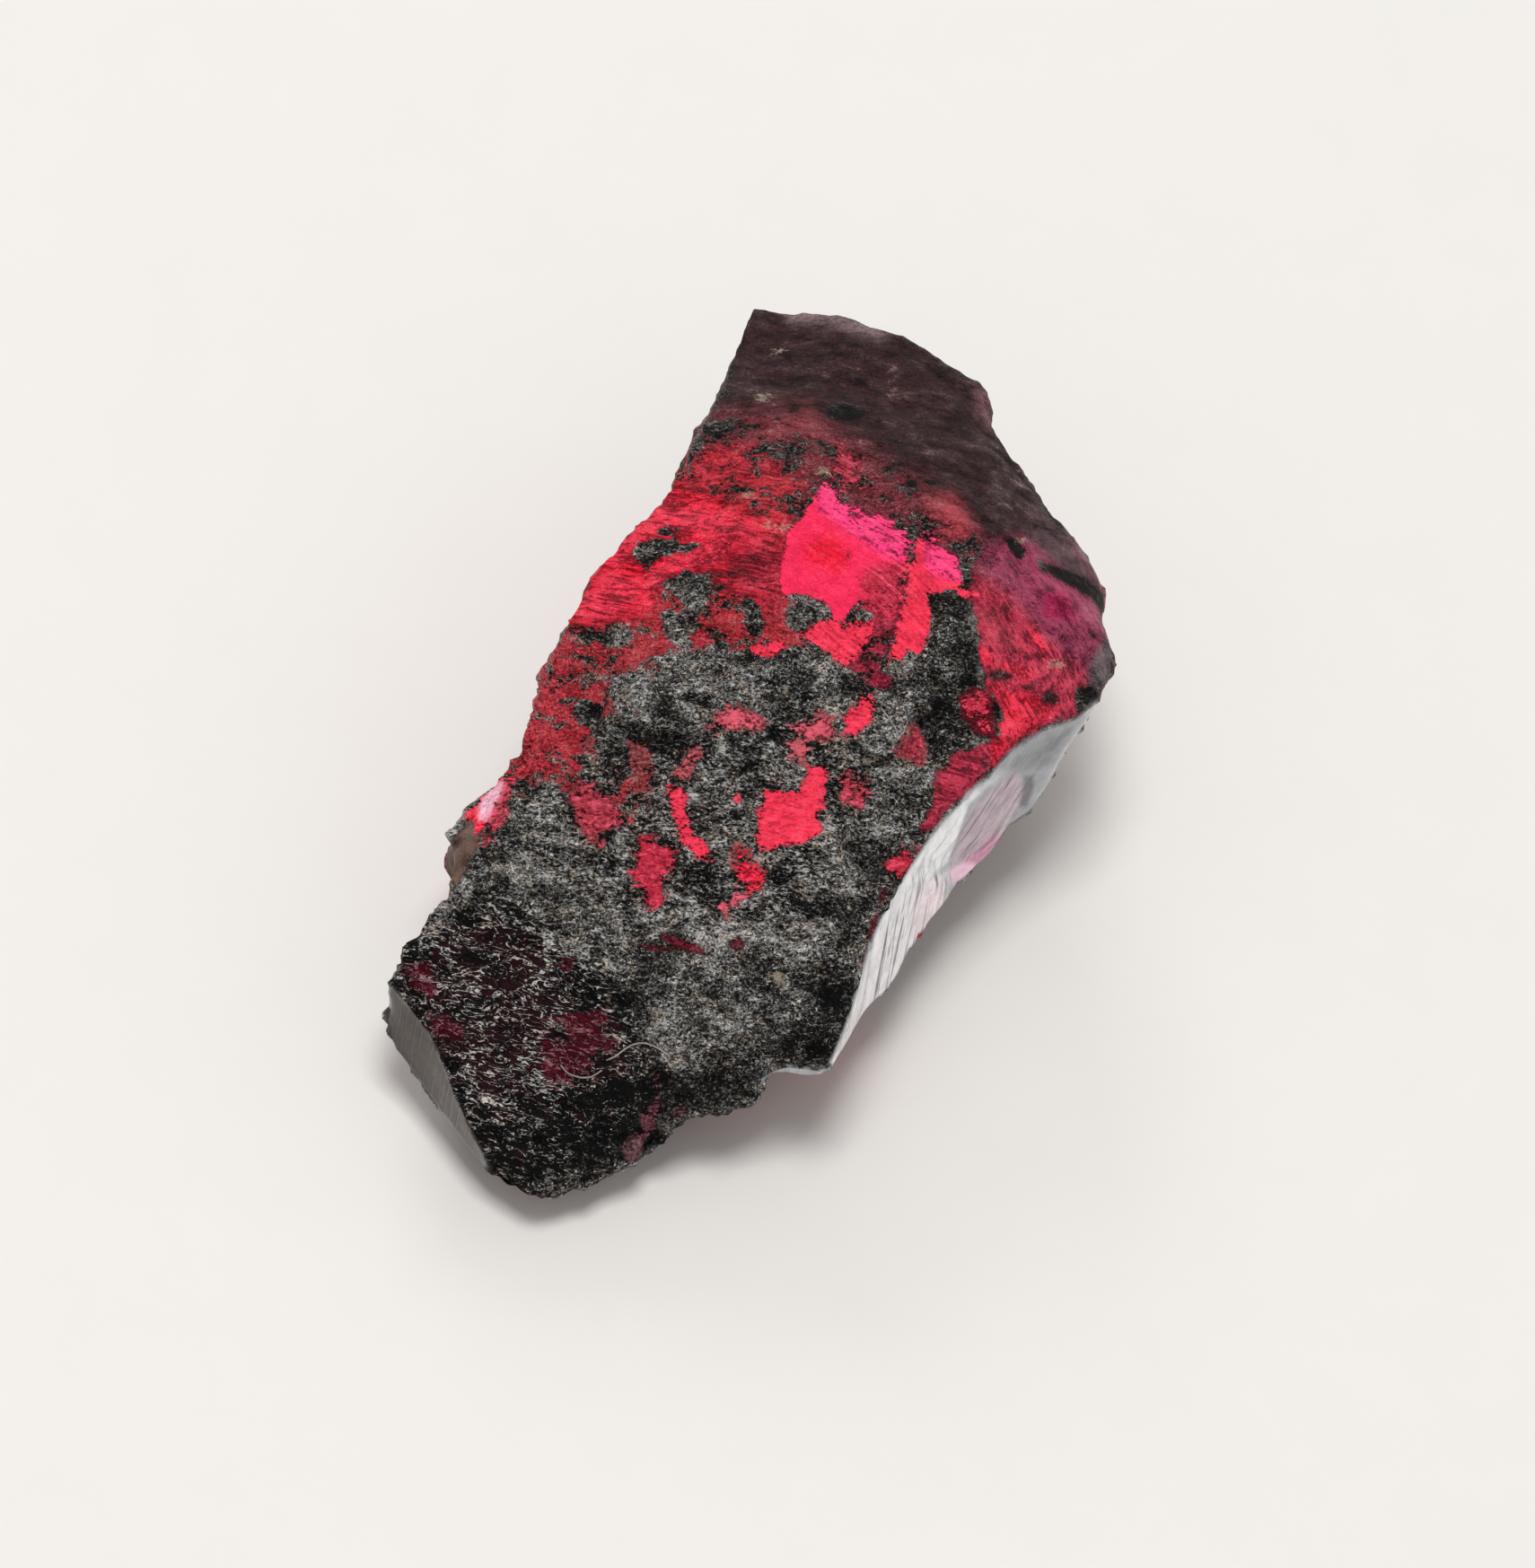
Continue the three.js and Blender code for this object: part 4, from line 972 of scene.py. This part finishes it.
    # glassy breaks, their pale colours painted reflection and glow, with dark streaks
    gloss = g.field("gloss")
    stripe = g.noise(g.field("streak_place", "Vector"), (1.10, 0.042, 1.0), detail=3.0, roughness=0.65)
    stripe = g.step(stripe, 0.36, 0.50, 1.0, 0.0)
    smear = g.step(g.swing(0.5, (hue, 1.2), (clump, 0.8)), 0.34, 0.62, 0.86, 1.06)
    glass = g.scale_colour(g.field("gloss_colour_and_light", "Color"), smear)
    glass = g.mix(g.times(stripe, g.field("gloss_streak")), glass, STREAK_PLUM)
    colour = g.mix(gloss, colour, glass)

    # painted glow: emission from the clear windows, stronger on the seen side, and from the glassy breaks,
    # standing in for light that shines through the stone
    open_share = g.times(window_share, g.rest(crust_share))
    open_share = g.times(open_share, g.rest(gloss))
    lit = g.times(open_share, g.field("painted_glow_share"))
    painted_glow = g.mix(lit, (0.0, 0.0, 0.0, 1.0), window_colour)
    painted_glow = g.mix(g.times(gloss, 0.5), painted_glow, glass)

    rough = g.step(speck, 0.62, 0.95, 0.66, 0.38)
    rough = g.mix_value(gloss, rough, 0.16)

    # the crust stands a little above the stain, and the stain above the windows
    layer = g.weighted(g.rest(veil_share), 0.30, g.times(open_share, -0.5))
    layer = g.weighted(crust_share, 0.5, layer)
    calm = g.weighted(open_share, -0.4, 1.0)
    height = g.weighted(speck, calm, layer)
    height = g.times(height, g.rest(gloss))
    height = g.weighted(g.times(stripe, gloss), -0.10, height)
    height = g.weighted(g.times(fibre, fibre_share), 0.6, height)
    bump = g.made("ShaderNodeBump", {"Strength": 1.0, "Distance": BUMP_DISTANCE * MM, "Height": height})
    sheen = g.times(g.step(speck, 0.50, 0.80, 0.04, 0.5), g.rest(open_share))
    g.surface({
        "Base Color": colour,
        "Roughness": rough,
        "Normal": bump,
        "Emission Color": painted_glow,
        "Emission Strength": WINDOW_PAINTED_GLOW,
        "IOR": STONE_IOR,
        "Specular IOR Level": SPECULAR_LEVEL,
        "Coat Weight": g.mix_value(gloss, sheen, 0.7),
        "Coat Normal": bump,
        "Coat Roughness": COAT_ROUGHNESS,
    })
    return g.material


def floor_material():
    """Plain pale paper."""
    g = Nodes("pale_floor")
    fibre = g.grain((0.9, 0.9, 0.9), detail=3.0)
    g.surface({"Base Color": g.mix(fibre, srgb(246, 243, 239), srgb(243, 240, 235)), "Roughness": 0.75})
    return g.material


def lint_material():
    """Off-white textile fibre."""
    g = Nodes("lint")
    tint = g.grain((0.08, 0.08, 0.08), detail=2.0)
    g.surface({"Base Color": g.mix(tint, srgb(128, 118, 110), srgb(178, 170, 162)), "Roughness": 0.6})
    return g.material


# ---- pieces
def add_piece(name, mesh, material):
    """Puts a mesh in the scene with one material and smooth faces."""
    mesh.materials.clear()
    mesh.materials.append(material)
    mesh.shade_smooth()
    piece = bpy.data.objects.new(name, mesh)
    bpy.context.collection.objects.link(piece)
    return piece


def make_stone():
    mesh = refined_mesh(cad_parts["stone"])
    mesh.name = "painite_stone"
    points, normals, rise = press_relief(mesh)
    fields = stone_fields(points, normals)
    fields["rise"] = np.clip(rise / RISE_SCALE, -1.0, 1.0)
    store_fields(mesh, fields)
    piece = add_piece("painite_stone", mesh, painite_material())
    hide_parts("stone")
    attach(piece, "root")
    return piece


def hit_place(tree, spot):
    """Where the line of sight through a picture pixel meets the stone, in mm, and the normal there."""
    across, downward = (np.array(spot) - PICTURE_MIDDLE) / PIXELS_PER_MM
    start = AIM + RIGHT * across - UP * downward - FORWARD * SIGHT_START
    return tree.ray_cast(start, FORWARD)[:2]


def lint_path(tree, line):
    """Points along a fibre that lies on the stone, in mm."""
    corners = np.array(line, dtype=float)
    spots = []
    for start, end in zip(corners[:-1], corners[1:]):
        steps = max(int(np.hypot(*(end - start)) / LINT_STEP), 1)
        spots += [start + (end - start) * step / steps for step in range(steps)]
    spots.append(corners[-1])
    for _ in range(LINT_ROUNDINGS):
        threes = zip(spots, spots[1:], spots[2:])
        inner = [(before + 2.0 * here + after) / 4.0 for before, here, after in threes]
        spots = [spots[0], *inner, spots[-1]]
    hits = [hit_place(tree, spot) for spot in spots]
    return [place + normal * LINT_RADIUS for place, normal in hits]


def make_lint(tree, number, line):
    """One textile fibre, as a thin bent tube."""
    path = lint_path(tree, line)
    shape = bmesh.new()
    rings = []
    for before, here, after in zip([path[0], *path], path, [*path[1:], path[-1]]):
        side = (after - before).cross(FORWARD).normalized()
        top = side.cross(after - before).normalized()
        ring = []
        for corner in range(LINT_SIDES):
            angle = 2.0 * math.pi * corner / LINT_SIDES
            offset = side * math.cos(angle) + top * math.sin(angle)
            ring.append(shape.verts.new((here + offset * LINT_RADIUS) * MM))
        rings.append(ring)
    for first, second in zip(rings[:-1], rings[1:]):
        for corner in range(LINT_SIDES):
            following = (corner + 1) % LINT_SIDES
            shape.faces.new((first[corner], first[following], second[following], second[corner]))
    shape.faces.new(rings[0])
    shape.faces.new(reversed(rings[-1]))
    bmesh.ops.recalc_face_normals(shape, faces=shape.faces)
    mesh = bpy.data.meshes.new(f"lint_{number}")
    shape.to_mesh(mesh)
    shape.free()
    piece = add_piece(f"lint_{number}", mesh, lint_material())
    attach(piece, "root")


def make_lints(stone):
    corners = [corner.co / MM for corner in stone.data.vertices]
    tree = BVHTree.FromPolygons(corners, [face.vertices for face in stone.data.polygons])
    for number, line in enumerate(LINT, start=1):
        make_lint(tree, number, line)


def make_floor():
    mesh = bpy.data.meshes.new("floor")
    corners = [(x * FLOOR_HALF, y * FLOOR_HALF, 0.0) for x, y in ((-1, -1), (1, -1), (1, 1), (-1, 1))]
    mesh.from_pydata(corners, [], [(0, 1, 2, 3)])
    floor = add_piece("floor", mesh, floor_material())


def make_camera():
    """Looks at the floor point in the middle of the picture, along the photograph's line of sight."""
    lens = bpy.data.cameras.new("camera")
    lens.lens = LENS
    lens.sensor_width = SENSOR
    frame_height = PICTURE_SIZE[1] / PIXELS_PER_MM * MM
    distance = frame_height * LENS / SENSOR
    lens.clip_start = 0.01
    lens.clip_end = 10.0
    camera = bpy.data.objects.new("camera", lens)
    bpy.context.collection.objects.link(camera)
    turn = Matrix((RIGHT, UP, -FORWARD)).transposed()
    camera.matrix_world = Matrix.Translation(AIM * MM - FORWARD * distance) @ turn.to_4x4()
    bpy.context.scene.camera = camera


def add_light(name, place, size, power):
    """A soft square lamp that looks at the stone. Place and size are in mm, power in W."""
    data = bpy.data.lights.new(name, "AREA")
    data.shape = "SQUARE"
    data.size = size * MM
    data.energy = power
    lamp = bpy.data.objects.new(name, data)
    bpy.context.collection.objects.link(lamp)
    lamp.location = Vector(place) * MM
    lamp.rotation_euler = lamp.location.to_track_quat("Z", "Y").to_euler()


def make_light():
    world = bpy.data.worlds.new("studio")
    world.use_nodes = True
    sky = world.node_tree.nodes["Background"]
    sky.inputs["Color"].default_value = (1.0, 1.0, 1.0, 1.0)
    sky.inputs["Strength"].default_value = SKY_STRENGTH
    bpy.context.scene.world = world
    for lamp in LAMPS:
        add_light(*lamp)


make_camera()
make_light()
make_floor()
stone = make_stone()
make_lints(stone)
bpy.context.scene.view_settings.view_transform = "Standard"
